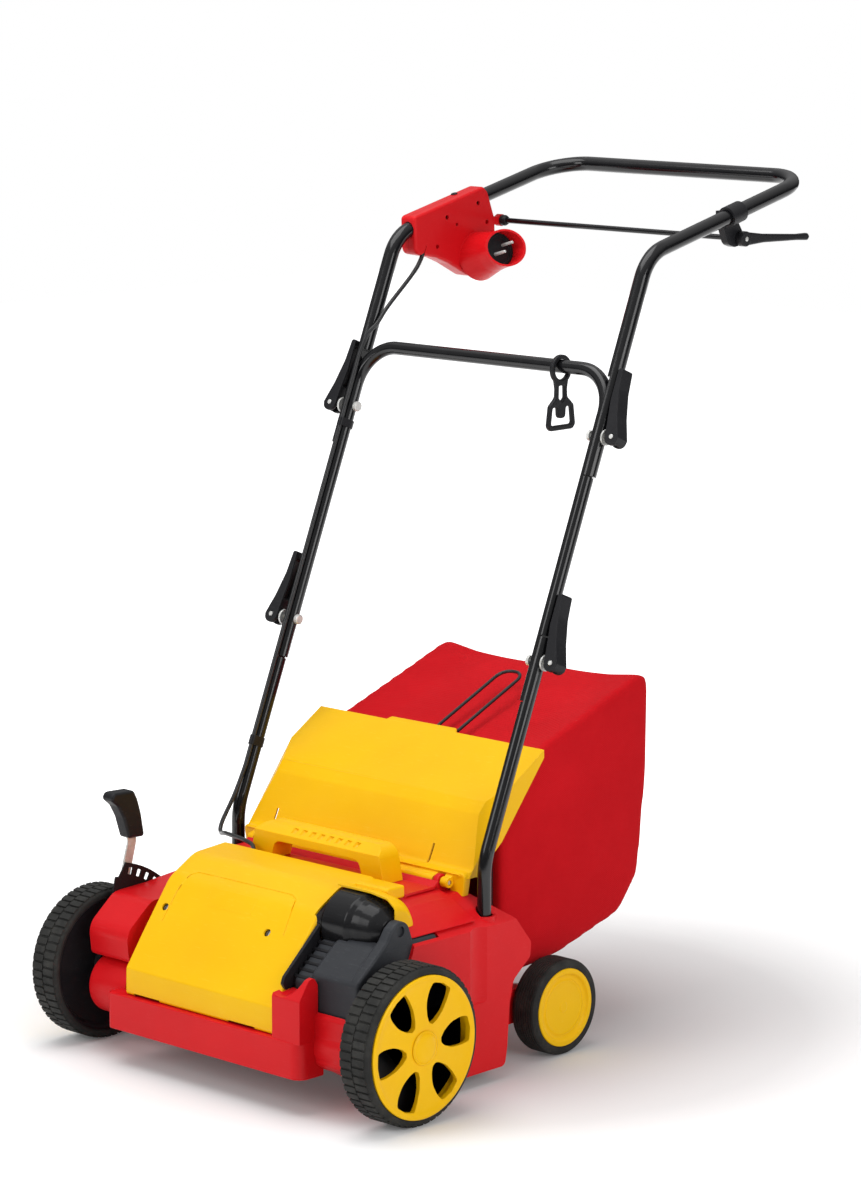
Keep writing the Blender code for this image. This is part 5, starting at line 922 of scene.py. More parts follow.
# %% Blank plate on the panel
label_spots = [on_cover(0, y) for y in (-0.0105, -0.0060, 0.0, 0.0045)]
label_path = [(spot.y, spot.z + 0.0006) for spot in label_spots]
label_path += [(spot.y, spot.z - 0.0010) for spot in label_spots[::-1]]
label = plate("label_place", label_path, -0.0640, 0.0140)
round_edges(label, 0.0005, 2, 45)
smooth(label)
place(label, "machine", "yellow plastic", "motor_cover")

# %% [markdown]
# ## Black parts beside the cover
# To the right of the cover stand a framed vent plate with ribs, the glossy end cap of the motor, and the grey belt
# cover with a shield that rises beside the cap. The cap is a dome with a long nose, so it is lathed. The rest is
# drawn from the side and extruded. A belt cover like this is satin grey plastic, so only the cap shines.

# %% Motor end cap
cap_section = fillet([(0, 0.2030), (0.0180, 0.2020), (0.0290, 0.1900), (0.0335, 0.1740), (0.0350, 0.1650),
                      (0.0388, 0.1585), (0.0392, 0.1222), (0.0360, 0.1222), (0.0350, 0.1500), (0.0250, 0.1850),
                      (0, 0.1990)], [0, 0.008, 0.014, 0.010, 0.006, 0.007, 0.0008, 0.0008, 0.006, 0.01, 0], 8)
end_cap = turned("motor_end_cap_dome", cap_section, 96, (0, *MOTOR_AXIS))
smooth(end_cap, 50)
place(end_cap, "machine", "glossy black", "motor_end_cap")

# %% Belt cover with its shield
box_outline = [(-0.0430, 0.1142), (-0.0418, 0.1640), (0.0000, 0.1975), (0.0300, 0.2005), (0.0927, 0.2000),
               (0.0927, 0.1142)]
box_path = fillet(box_outline, [0, 0.010, 0.020, 0.016, 0.006, 0], 6, closed=True)
belt_box = round_edges(plate("belt_cover_box", box_path, 0.147, 0.2236), 0.0050, 4, 50)
shield_path = fillet([(-0.0410, 0.1560), (-0.0405, 0.1655), (0.0080, 0.2060), (0.0160, 0.2180), (0.0290, 0.2280),
                      (0.0440, 0.2210), (0.0520, 0.2000), (0.0540, 0.1600)],
                     [0, 0.008, 0.012, 0.014, 0.014, 0.014, 0.010, 0], 6, closed=True)
shield = round_edges(plate("shield", shield_path, 0.2070, 0.2232), 0.0040, 4, 50)
cut(shield, bar_across("dimple", 0.2200, 0.2260, (0.0300, 0.2140), 0.0060, 32, 0.0070))
join(belt_box, shield)
room_corners = [(y * 0.93 + 0.0017, z - 0.003 if z > 0.15 else z - 0.02) for y, z in box_outline]
cut(belt_box, plate("room", room_corners, 0.1498, 0.2208),
    bar_across("cap room", 0.10, 0.1640, MOTOR_AXIS, 0.0396, 96),
    bar_across("cap nose room", 0.10, 0.2038, MOTOR_AXIS, 0.0352, 64, 0.0250),
    bar_across("blade room", 0.100, 0.240, ROLLER_AXIS, 0.0671, 96))
smooth(belt_box, 32)
place(belt_box, "machine", "grey plastic", "belt_cover")

# %% Step plate between belt cover and vent
step_outline = [(-0.0425, 0.1146), (-0.0440, 0.1540), (0.0030, 0.1930), (0.0905, 0.1950), (0.0905, 0.1146)]
step_path = fillet(step_outline, [0, 0.008, 0.012, 0.004, 0], 6, closed=True)
step = round_edges(plate("belt_cover_step", step_path, 0.1230, 0.1500), 0.0020, 3, 50)
cut(step, bar_across("cap room", 0.10, 0.1659, MOTOR_AXIS, 0.0396, 96),
    plate("room", [(-0.038, 0.10), (-0.038, 0.150), (0.088, 0.150), (0.088, 0.10)], 0.1255, 0.1520))
smooth(step)
place(step, "machine", "grey plastic", "belt_cover")


# %% Vent frame and ribs
def vent_outline(out):
    steep = [(-0.0560, 0.1425), (-0.0590 - out, 0.1500), (-0.0560 - out, 0.1560 + out)]
    return steep + [(0.0060, 0.2130 + out), (0.0260, 0.2130), (0.0260, 0.1425)]


vent_path = fillet(vent_outline(0.002), [0.002, 0.003, 0.006, 0.010, 0.004, 0.002], 5, closed=True)
vent = plate("vent_frame", vent_path, 0.1167, 0.1212)
cut(vent, plate("opening", fillet(vent_outline(-0.0045), 0.003, 4, closed=True), 0.1190, 0.1300),
    bar_across("cap room", 0.10, 0.1659, MOTOR_AXIS, 0.0397, 96))
round_edges(vent, 0.0008, 2, 40)
smooth(vent)
place(vent, "machine", "black plastic", "belt_cover")
for k in range(7):
    y, z = -0.0420 + 0.0078 * k, 0.1570 + 0.0065 * k
    rib_outline = [(y, z - 0.012), (y, z), (y + 0.0028, z + 0.0022), (y + 0.0028, z - 0.012)]
    rib = round_edges(plate(f"vent_rib_{k + 1}", rib_outline, 0.1185, 0.1478), 0.0007, 2, 40)
    smooth(rib)
    place(rib, "machine", "black plastic", "belt_cover")

# %% [markdown]
# ## Carry handle
# Behind the cover a yellow handle bridges the red deck. Its two feet are broad and flow into the bar, and a row of
# small recesses on the bar gives the fingers grip. The front view is drawn and extruded, the front of the bar is
# sliced off at a slope, and the edges are rounded well before the recesses are cut.

# %% Handle with grip recesses
CARRY_Y, CARRY_HALF, CARRY_TOP, DECK_Z = 0.132, 0.107, 0.278, 0.2345
handle_outline = [
    (-CARRY_HALF - 0.006, DECK_Z), (-CARRY_HALF + 0.003, CARRY_TOP), (CARRY_HALF - 0.003, CARRY_TOP),
    (CARRY_HALF + 0.006, DECK_Z), (CARRY_HALF - 0.029, DECK_Z), (CARRY_HALF - 0.036, CARRY_TOP - 0.0195),
    (-CARRY_HALF + 0.036, CARRY_TOP - 0.0195), (-CARRY_HALF + 0.029, DECK_Z)]
handle_path = fillet(handle_outline, [0, 0.018, 0.018, 0, 0, 0.012, 0.012, 0], 8, closed=True)
carry = plate("carry_handle_yellow", handle_path, -CARRY_Y - 0.017, -CARRY_Y + 0.017, ALONG_Y)
slice_off(carry, (0, 0.1300, CARRY_TOP), (0, -0.55, 0.84))
round_edges(carry, 0.0050, 4, 45)
recesses = []
for k in range(8):
    x = -0.0438 + 0.0150 * k
    recess = bar("recess", (x, 0.1185, 0.2722), (x, 0.1262, 0.2772), 0.0044, 16)
    recesses.append(round_edges(recess, 0.0006, 2, 40))
cut(carry, *recesses)
smooth(carry, 34)
place(carry, "machine", "yellow plastic", "carry_handle")

# %% [markdown]
# ## Rear flap
# The yellow flap hinges on a steel rod and rests on the bag. It is a shell whose two ends fall away in sloping wings,
# with a raised tab on its upper lip. Its profile is extruded across, the ends are sliced off by two sloping planes,
# and the underside is hollowed by the same form made smaller. Knuckles round the rod and two tongues that reach down
# beside the deck's lugs are joined on.

# %% Flap shell with sloping ends
FLAP_HALF, FLAP_WALL, FLAP_END = 0.190, 0.0025, 0.172
flap_top = fillet([(0.1740, 0.2480), (0.1880, 0.2500), (0.2180, 0.3130), (0.2300, 0.3270), (0.3150, 0.3790)],
                  [0, 0.010, 0.020, 0.020, 0], 8)
flap_edge = [(0.3150, 0.3690), (0.2400, 0.2780), (0.1960, 0.2430), (0.1780, 0.2430)]


def trim_ends(piece, less=0.0):
    """Slope both ends: the top loses more than the lower edge."""
    for side in (-1, 1):
        normal = Vector((side * 0.62, -0.62, 0.48)).normalized()
        slice_off(piece, Vector((side * FLAP_END, 0.2180, 0.3130)) - normal * less, normal)
    return piece


flap = trim_ends(plate("rear_flap_yellow", flap_top + flap_edge, -FLAP_HALF, FLAP_HALF))
round_edges(flap, 0.0045, 4, 40)
under = [point for point in band(flap_top, FLAP_WALL)[len(flap_top):] if 0.1915 < point[0] < 0.311]
under = [(0.3125, 0.3745)] + under + [(under[-1][0], 0.2300), (0.2600, 0.2500), (0.3125, 0.3300)]
cut(flap, trim_ends(plate("room", under, -FLAP_HALF + FLAP_WALL, FLAP_HALF - FLAP_WALL), 0.0028))

# %% Knuckles, tongues, tab and hinge rod
ear_path = arc(FLAP_AXIS, 0.0065, 75, 330, 20) + [(0.1820, 0.2462), (0.1790, 0.2480)]
knuckles = [plate("knuckle", ear_path, -0.1465, 0.1465)]
knuckles += [side_plate("knuckle", ear_path, side, 0.1590, 0.1700) for side in (-1, 1)]
for piece in knuckles:
    round_edges(piece, 0.0010, 2, 45)
tongue_outline = [(0.1620, 0.2500), (0.1895, 0.2500), (0.1835, 0.2165), (0.1640, 0.2175)]
for side in (-1, 1):
    corners = [(side * x, z) for x, z in tongue_outline]
    tongue_path = fillet(corners if side < 0 else corners[::-1], 0.0060, 6, closed=True)
    knuckles.append(round_edges(plate("tongue", tongue_path, -0.1880, -0.1760, ALONG_Y), 0.0025, 3, 45))
join(flap, *knuckles)
cut(flap, *[block("notch", (x - 0.0016, 0.180, 0.2500), (x + 0.0016, 0.2060, 0.2720)) for x in (-0.1500, 0.1176)],
    bar_across("bore", -0.2, 0.2, FLAP_AXIS, 0.0033))
smooth(flap, 34)
place(flap, "flap", "yellow plastic", "rear_flap")

tab_lift = Matrix.Translation((0, 0.3146, 0.3780)) @ Matrix.Rotation(math.atan2(0.0520, 0.0850), 4, "X")
tab_outline = [(-0.0811, -0.0065), (-0.0700, 0.0075), (0.0390, 0.0085), (0.0501, -0.0065)]
tab_path = fillet(tab_outline, [0, 0.004, 0.004, 0], 5, closed=True)
tab = plate("flap_tab_yellow", tab_path, -0.0032, 0.0004, tab_lift)
smooth(round_edges(tab, 0.0010, 3, 40))
place(tab, "flap", "yellow plastic", "rear_flap")
hinge_rod = bar_across("flap_rod_zinc", -0.1685, 0.1685, FLAP_AXIS, 0.0030)
smooth(round_edges(hinge_rod, 0.0006, 2, 40))
place(hinge_rod, "machine", "zinc steel", "flap_rod")

# %% [markdown]
# ## Depth lever
# On the left a zinc-plated lever turns the front axle and so sets the working depth. Its black grip is shaped like a
# pistol grip, and a black sector plate with slots shows the setting. All three are flat or nearly flat, so they are
# outlines with a thickness, and the grip's edges are rounded until it fills the hand.

# %% Lever and grip
SECTOR_X, SECTOR_T, LEVER_T, LEVER_W, LEVER_TURN = -0.2283, 0.002, 0.0028, 0.014, 15.5
lever_x = SECTOR_X - SECTOR_T - 0.0007


def around_pivot(turn, radius):
    """A point round the crank's pivot; the turn is from upright towards the rear."""
    angle = math.radians(turn)
    return PIVOT.y + radius * math.sin(angle), PIVOT.z + radius * math.cos(angle)


low_end, bend, tip = Vector(around_pivot(LEVER_TURN, 0.150)), Vector((0.0265, 0.2470)), Vector((0.0205, 0.2770))
side_step = Vector((math.cos(math.radians(LEVER_TURN)), -math.sin(math.radians(LEVER_TURN)))) * (LEVER_W / 2)
bend_step, tip_step = Vector((LEVER_W / 2, 0.0005)), Vector((LEVER_W / 2, 0.001))
root = arc(CRANK_AXIS, LEVER_W, 74.5 + 30, 74.5 + 330, 30)
edges = [tuple(spot) for spot in (low_end + side_step, bend + bend_step, tip + tip_step,
                                  tip - tip_step, bend - bend_step, low_end - side_step)]
lever_path = fillet(root + edges, [0] * len(root) + [0, 0.02, 0.004, 0.004, 0.02, 0], 5, closed=True)
lever = plate("depth_lever_zinc", lever_path, lever_x - LEVER_T, lever_x)
cut(lever, bar_across("bore", -0.26, -0.2, CRANK_AXIS, 0.0073, 32))
smooth(round_edges(lever, 0.0006, 2, 40))
place(lever, "depth", "zinc steel", "depth_lever")
grip_outline = [(0.0145, 0.2530), (0.0405, 0.2515), (0.0350, 0.2830), (0.0295, 0.3010), (0.0235, 0.3125),
                (-0.0100, 0.3140), (-0.0150, 0.3060), (-0.0030, 0.2960), (0.0060, 0.2800)]
grip_path = fillet(grip_outline, [0.004, 0.004, 0.02, 0.012, 0.007, 0.007, 0.005, 0.012, 0.02], 6, closed=True)
middle_x = lever_x - LEVER_T / 2
grip = plate("lever_grip_black", grip_path, middle_x - 0.010, middle_x + 0.010)
smooth(round_edges(grip, 0.0048, 5, 50), 50)
place(grip, "depth", "black plastic", "lever_grip")

# %% Sector plate with slots
sector_outline = arc(CRANK_AXIS, 0.128, 90 - 7.0, 90 - 9.5, 3) + arc(CRANK_AXIS, 0.146, 90 - 13.0, 90 - 46.0, 24)
sector_outline += arc(CRANK_AXIS, 0.100, 90 - 50.0, 90 - 5.0, 20)
sector = plate("depth_sector_black", sector_outline, SECTOR_X - SECTOR_T, SECTOR_X)
slots_cut = []
for k in range(5):
    middle_turn = 17.0 + k * 6.2
    corners = [around_pivot(middle_turn + turn, radius)
               for turn, radius in ((-1.3, 0.132), (-1.3, 0.141), (1.3, 0.141), (1.3, 0.132))]
    slots_cut.append(plate("slot", fillet(corners, 0.0012, 4, closed=True), -0.235, -0.224))
cut(sector, *slots_cut)
smooth(round_edges(sector, 0.0004, 2, 40))
place(sector, "machine", "black plastic", "depth_sector")

# %% [markdown]
# ## Handle tubes
# Four glossy black tubes make the folding handle: two lower tubes, a middle frame and an upper frame. A tube is a
# path with corners rounded to the bender's radius, given a round section. Where two tubes overlap at a clamp, the
# factory presses both flat, so that they lie face to face. A block that follows the handle's slope cuts those flats,
# and a small rounding hides the sharp cut.

# %% The handle's slope and its places
LEAN, ARM_RISE = math.radians(22.4), math.radians(13.8)
UP_HANDLE = Vector((0, math.sin(LEAN), math.cos(LEAN)))
AHEAD = Vector((0, -math.cos(LEAN), math.sin(LEAN)))
TUBE_R, GRIP_R, TUBE_X, MIDDLE_X = 0.0085, 0.0095, 0.210, 0.208
INNER_FLAT, OUTER_FLAT = 0.20935, 0.20905


def on_handle(x, z, ahead=0.0):
    """A point in the handle's plane at a height, or a little in front of it."""
    return Vector((x, 0.187 + (z - 0.2648) * math.tan(LEAN), z)) + AHEAD * ahead


LOW_PIN, UP_PIN = on_handle(0, 0.4944), on_handle(0, 0.7545)
ELBOW, CROSSBAR = on_handle(0, 0.9664), on_handle(0, 0.8294)
BAR = Vector((0, 0.7884, ELBOW.z + (0.7884 - ELBOW.y) * math.tan(ARM_RISE)))


def flat_cutter(side, pin, below, above, near, far):
    """A block that follows the handle's slope from below a clamp's pin to above it."""
    corners = []
    for reach, ahead in ((-below, -0.015), (-below, 0.015), (above, 0.015), (above, -0.015)):
        spot = pin + UP_HANDLE * reach + AHEAD * ahead
        corners.append((spot.y, spot.z))
    return side_plate("flat", corners, side, near, far)


def cross_hole(x, pin):
    return bar_across("hole", x - 0.04, x + 0.04, (pin.y, pin.z), 0.0033, 20)


def place_tube(tube, body, node):
    smooth(round_edges(tube, 0.0009, 2, 40), 40)
    place(tube, body, "black tube", node)


print("clamp pins at heights", round(LOW_PIN.z, 4), round(UP_PIN.z, 4), "grip bar at", round(BAR.z, 4))

# %% Lower tubes, middle frame and upper frame
for side, label in ((-1, "left"), (1, "right")):
    top = LOW_PIN + UP_HANDLE * 0.030
    path = fillet([(side * TUBE_X, 0.187, 0.1556), (side * TUBE_X, 0.187, 0.2648), (side * TUBE_X, top.y, top.z)],
                  [0, 0.10, 0], 14)
    tube = pipe(f"lower_tube_black_{label}", path, TUBE_R, 32)
    cut(tube, flat_cutter(side, LOW_PIN, 0.0515, 0.05, 0.190, INNER_FLAT), cross_hole(side * 0.21, LOW_PIN))
    place_tube(tube, "machine", f"lower_tube_{label}")

low = LOW_PIN - UP_HANDLE * 0.050
path = fillet([(-MIDDLE_X, low.y, low.z), (-MIDDLE_X, CROSSBAR.y, CROSSBAR.z), (MIDDLE_X, CROSSBAR.y, CROSSBAR.z),
               (MIDDLE_X, low.y, low.z)], [0, 0.052, 0.052, 0], 16)
middle = pipe("middle_frame_black", path, TUBE_R, 32)
for side in (-1, 1):
    cut(middle, flat_cutter(side, LOW_PIN, 0.0615, 0.0320, OUTER_FLAT, 0.230),
        flat_cutter(side, UP_PIN, 0.0515, 0.12, OUTER_FLAT, 0.230),
        cross_hole(side * MIDDLE_X, LOW_PIN), cross_hole(side * MIDDLE_X, UP_PIN))
place_tube(middle, "middle", "middle_frame")

low = UP_PIN - UP_HANDLE * 0.050
half = [(-TUBE_X, low.y, low.z), (-TUBE_X, ELBOW.y, ELBOW.z), (-TUBE_X, BAR.y, BAR.z)]
upper_path = fillet(half + [(-x, y, z) for x, y, z in reversed(half)], [0, 0.055, 0.055, 0.055, 0.055, 0], 18)
upper = pipe("upper_frame_black", upper_path, GRIP_R, 36)
for side in (-1, 1):
    cut(upper, flat_cutter(side, UP_PIN, 0.0615, 0.0740, 0.190, INNER_FLAT), cross_hole(side * 0.21, UP_PIN))
place_tube(upper, "upper", "upper_frame")

# %% [markdown]
# ## Cam clamps
# Each joint is held by a bolt that a cam lever pulls tight: a zinc bolt with a head on the inner side, a washer and a
# cross pin whose bright ends show on the lever. The black lever is drawn from the side, as a nose round the pin that
# runs out into a curved grip with a hollow back. Each clamp is modelled on the right and mirrored to the left.

# %% Clamp bolts and cam levers
CAM_PIN_X, CAM_W, CAM_R, CAM_LENGTH = 0.2365, 0.020, 0.0105, 0.0845
BOLT_HEAD = [(0, 0.1935), (0.0050, 0.1935), (0.0064, 0.1945), (0.0064, 0.1985), (0.0031, 0.1985), (0.0031, 0.2180)]
BOLT_WASHER = [(0.0031, 0.2198), (0.0096, 0.2198), (0.0098, 0.2202), (0.0098, 0.2222), (0.0031, 0.2223)]
BOLT_END = [(0.0030, 0.2226), (0.0030, 0.2365), (0, 0.2365)]
GRIP_OUTLINE = [(0, CAM_R), (0.0260, 0.0010), (0.0560, -0.0065), (CAM_LENGTH, -0.0092), (CAM_LENGTH, -0.0160),
                (0.045, -0.0160), (0.014, -0.0118), (0, -CAM_R)]
GRIP_HOLLOW = [(0.020, -0.020), (0.024, -0.0060), (0.074, -0.0122), (0.078, -0.020)]
BOLT_SLOT = [(-0.03, -0.03), (-0.03, 0.0045), (0.0045, 0.0045), (0.0045, -0.03)]


def clamp(pin, level, bolt_body):
    centre = Vector((CAM_PIN_X, pin.y, pin.z))
    half = AHEAD * (CAM_W / 2 + 0.0008)
    bolt = turned(f"clamp_bolt_zinc_{level}_right", BOLT_HEAD + BOLT_WASHER + BOLT_END, 32, (0, pin.y, pin.z))
    join(bolt, round_edges(bar("cross pin", centre - half, centre + half, 0.0029, 24), 0.0007, 3, 50))
    smooth(bolt)
    at_pin = Matrix(((0, 1, 0, centre.x), (UP_HANDLE.y, 0, -AHEAD.y, centre.y), (UP_HANDLE.z, 0, -AHEAD.z, centre.z),
                     (0, 0, 0, 1)))
    nose = [(CAM_R * math.cos(math.radians(a)), CAM_R * math.sin(math.radians(a))) for a in range(250, 110, -10)]
    outline = fillet(GRIP_OUTLINE, [0, 0.03, 0.05, 0.003, 0.003, 0.03, 0.01, 0], 6, closed=True) + nose
    lever = plate(f"cam_lever_black_{level}_right", outline, -CAM_W / 2, CAM_W / 2, at_pin)
    hollow = plate("hollow", fillet(GRIP_HOLLOW, [0, 0.004, 0.003, 0], 4, closed=True), -0.0070, 0.0070, at_pin)
    cut(lever, hollow, plate("slot", BOLT_SLOT, -0.0042, 0.0042, at_pin),
        bar("bore", centre - half * 1.4, centre + half * 1.4, 0.0032, 24))
    smooth(round_edges(lever, 0.0011, 3, 35))
    for piece, finish, body, node_name in ((bolt, "zinc steel", bolt_body, "clamp_bolt"),
                                           (lever, "black plastic", "cam", "cam_lever")):
        left = smooth(mirrored(piece, piece.name.replace("right", "left")))
        for made, label in ((piece, "right"), (left, "left")):
            place(made, f"cam_{level}_{label}" if body == "cam" else body, finish, f"{node_name}_{level}_{label}")


clamp(LOW_PIN, "lower", "machine")
clamp(UP_PIN, "upper", "middle")

# %% [markdown]
# ## Motor cable
# The cable from the switch box to the motor is clipped along the left tubes, so it is not a free cord. It lies in
# front of the tubes and rides on them in three lengths, cut where the handle folds. A smooth curve through a few
# places gives the path, and two plastic clips hold it.

# %% Cable in three lengths
CABLE_R, CABLE_X, CABLE_AHEAD = 0.00275, -0.2055, 0.0119
UPPER_SPLIT, LOWER_SPLIT = 0.7200, 0.4944


def flowing(points, steps=8):
    """Points along a smooth curve that passes through every given place."""
    spots = [Vector(point) for point in points]
    spots = [spots[0] * 2 - spots[1]] + spots + [spots[-1] * 2 - spots[-2]]
    made = []
    for a, b, c, d in zip(spots, spots[1:], spots[2:], spots[3:]):
        for k in range(steps):
            t = k / steps
            bend = (2 * a - 5 * b + 4 * c - d) * t**2 + (3 * b - a - 3 * c + d) * t**3
            made.append(0.5 * (2 * b + (c - a) * t + bend))
    return made + [spots[-2]]


def along_tube(z):
    return on_handle(CABLE_X, z, CABLE_AHEAD)


cable_out = Vector((-0.2005, ELBOW.y + 0.0363, ELBOW.z - 0.0279))
high = [cable_out + Vector((0, 0.0030, 0.0060)), cable_out - Vector((0, 0.0020, 0.0060)),
        Vector((-0.1985, ELBOW.y + 0.0168, ELBOW.z - 0.0514)), on_handle(-0.1945, 0.8800, -0.0040),
        on_handle(-0.1958, 0.8550, 0.0060), on_handle(-0.2010, 0.8400, 0.0118), along_tube(0.815)]
low = [along_tube(0.318), (-0.2065, 0.1780, 0.2850), (-0.2090, 0.1580, 0.2520), (-0.2000, 0.1470, 0.2420),
       (-0.1660, 0.1240, 0.2500), (-0.1200, 0.1100, 0.2520), (-0.0980, 0.1040, 0.2490), (-0.0840, 0.0900, 0.2400)]
gap = UP_HANDLE * 0.00015
cable_lengths = (
    ("upper", "upper", flowing(high) + [along_tube(UPPER_SPLIT) + gap]),
    ("middle", "middle", [along_tube(UPPER_SPLIT) - gap, along_tube(0.63), along_tube(LOWER_SPLIT) + gap]),
    ("lower", "machine", [along_tube(LOWER_SPLIT) - gap, along_tube(0.372)] + flowing(low)),
)
for label, body, path in cable_lengths:
    cable = smooth(pipe(f"cable_{label}", path, CABLE_R, 16), 50, even=False)
    place(cable, body, "coated wire", f"motor_cable_{label}")

# %% Cable clips
for node_name, body in (("cable_clip_lower", "machine"), ("cable_clip_joint", "middle")):
    clip = traced(node_name, node_name.replace("cable_", "black_"), 0.0005)
    place(clip, body, "black plastic", node_name, moved=True)

# %% [markdown]
# ## Cord hook
# A black moulded hook hangs from the crossbar: a ring with a neck, and a wide frame below with a tongue, where a loop
# of mains lead is hung. It is flat when seen from its side, so its outline is drawn with its openings cut out, and
# every edge is rounded well, because the real one has a round section.

# %% Hook outline and openings
HOOK_X, HOOK_T = 0.1205, 0.006
ring_y, ring_z = CROSSBAR.y, CROSSBAR.z + 0.0088 - 0.0125


def hook_points(points):
    return [(ring_y + across, ring_z + rise) for across, rise in points]


half_outline = [(0.0095, -0.024), (0.0100, -0.034), (0.0215, -0.044), (0.0250, -0.0690), (0.0200, -0.0745)]
ring_arc = arc((ring_y, ring_z), 0.0180, -50, 230, 36)
frame_rounding = [0.004, 0.006, 0.005, 0.006, 0.006, 0.006, 0.006, 0.005, 0.006, 0.004]
outer = fillet(ring_arc + hook_points([(-y, z) for y, z in half_outline] + half_outline[::-1]),
               [0] * len(ring_arc) + frame_rounding, 5, closed=True)
hook = plate("cord_hook_black", outer, HOOK_X - HOOK_T / 2, HOOK_X + HOOK_T / 2)
eye = hook_points([(-0.0052, -0.0200), (-0.0055, -0.0350), (0, -0.0400), (0.0055, -0.0350), (0.0052, -0.0200)])
window = hook_points([(-0.0165, -0.0460), (-0.0195, -0.0682), (0.0195, -0.0682), (0.0165, -0.0460),
                      (0.0075, -0.0460), (0.0065, -0.0600), (-0.0065, -0.0600), (-0.0075, -0.0460)])
window_path = fillet(window, [0.003, 0.003, 0.003, 0.003, 0.003, 0.005, 0.005, 0.003], 4, closed=True)
cut(hook, bar_across("ring", 0.11, 0.13, (ring_y, ring_z), 0.0125, 48),
    plate("eye", fillet(eye, 0.0015, 4, closed=True), 0.11, 0.13), plate("window", window_path, 0.11, 0.13))
smooth(round_edges(hook, 0.0017, 4, 40), 40)
place(hook, "hook", "black plastic", "cord_hook")

# %% [markdown]
# ## Switch box
# The red switch box is clamped round the left tube in two halves that meet on the tube's middle plane. Both come from
# one rounded block: it is drawn from the side, rounded, copied, and each copy is cut at that plane. The inlet for the
# mains lead is a collar on the inner half whose mouth is cut at a slant, and six dark screw holes sit in its face.

# %% Box outline and its two halves
def by_elbow(behind, above):
    """A place in the side view, measured from the bend of the upper frame."""
    return ELBOW.y + behind, ELBOW.z + above


box_spots = [by_elbow(*corner) for corner in (
    (0.0218, -0.0264), (0.0198, 0.0216), (0.1508, 0.0536), (0.1588, 0.0466), (0.1728, 0.0106), (0.1748, -0.0514),
    (0.1618, -0.0604), (0.1418, -0.0634), (0.1218, -0.0604), (0.0858, -0.0424), (0.0638, -0.0339))]
box_radii = [0.010, 0.006, 0.006, 0.010, 0.010, 0.010, 0.010, 0.020, 0.020, 0.030, 0.020]
whole = plate("box", fillet(box_spots, box_radii, 6, closed=True), -0.2235, -0.1970)
round_edges(whole, 0.0042, 4, 45)
inner_half = slice_off(copied(whole, "switch_box_red_inner"), (-0.20985, 0, 0), (-1, 0, 0))
outer_half = slice_off(copied(whole, "switch_box_red_outer"), (-0.21015, 0, 0), (1, 0, 0))
bpy.data.objects.remove(whole, do_unlink=True)
ROD_Y, ROD_Z = LEVER_AXIS = by_elbow(0.1868, 0.0076)


def tube_channel():
    """The space that the left tube takes through the box."""
    points = [on_handle(-TUBE_X, 0.90)] + [p for p in upper_path if p[0] < -0.2099 and p[2] > 0.93]
    return pipe("channel", points, 0.0100, 32)


# %% Inlet collar with a slanting mouth
inlet_axis = Vector((0.955, -0.130, 0.260)).normalized()
inlet_side = Vector((0.187, 0.962, -0.197)).normalized()
inlet_up = inlet_axis.cross(inlet_side)
inlet_tip = Vector((-0.1280, *by_elbow(0.1267, -0.0181)))
MOUTH_SLANT, INLET_LENGTH = math.radians(24), 0.068
collar_path = fillet([(0, -0.001), (0.0325, -0.001), (0.0290, 0.016), (0.0262, 0.030), (0.0248, 0.046),
                      (0.0248, INLET_LENGTH), (0, INLET_LENGTH)], [0, 0, 0.02, 0.03, 0.02, 0, 0], 6)
collar = turned("collar", collar_path, 64, inlet_tip - inlet_axis * INLET_LENGTH, inlet_axis, inlet_side)
slice_off(collar, (-0.1995, 0, 0), (-1, 0, 0))
slice_off(collar, inlet_tip - inlet_axis * 0.0105,
          inlet_axis * math.cos(MOUTH_SLANT) - inlet_side * math.sin(MOUTH_SLANT))
bore_start = inlet_tip - inlet_axis * 0.034
join(inner_half, collar)
cut(inner_half, bar("bore", bore_start, inlet_tip + inlet_axis * 0.02, 0.0221, 64))
join(inner_half, bar_across("lug", -0.2060, -0.1985, LEVER_AXIS, 0.0078, 40),
     block("lug arm", (-0.2055, ROD_Y - 0.0160, ROD_Z - 0.0052), (-0.1990, ROD_Y, ROD_Z + 0.0052)))

# %% Screw holes, channels and the finished halves
screw_holes = [(0.1393, 0.0326, 0.0031), (0.0803, 0.0176, 0.0031), (0.0988, 0.0074, 0.0024),
               (0.1561, 0.0071, 0.0031), (0.0623, -0.0190, 0.0031), (0.1074, -0.0324, 0.0031)]
for behind, above, radius in screw_holes:
    cut(inner_half, bar_across("screw hole", -0.2035, -0.190, by_elbow(behind, above), radius))
cable_line = [cable_out + Vector((0, 0.006, 0.012)), cable_out, cable_out - Vector((0, 0.005, 0.016))]
cut(inner_half, tube_channel(), bar_across("rod hole", -0.2040, -0.10, LEVER_AXIS, 0.0038),
    pipe("cable way", cable_line, 0.0036, 16))
round_edges(inner_half, 0.0007, 2, 45)
smooth(inner_half, 34)
place(inner_half, "upper", "red plastic", "switch_box_inner")
push_along = Vector((0, 0.131, 0.032)).normalized()
push = Vector((0, push_along.z, -push_along.y))
button_spot = Vector((-0.2160, *by_elbow(0.0198 + 0.131 * 0.7176, 0.0216 + 0.032 * 0.7176)))
cut(outer_half, tube_channel(), bar("button way", button_spot - push * 0.006, button_spot + push * 0.006, 0.0045))
smooth(outer_half, 34)
place(outer_half, "upper", "red plastic", "switch_box_outer")

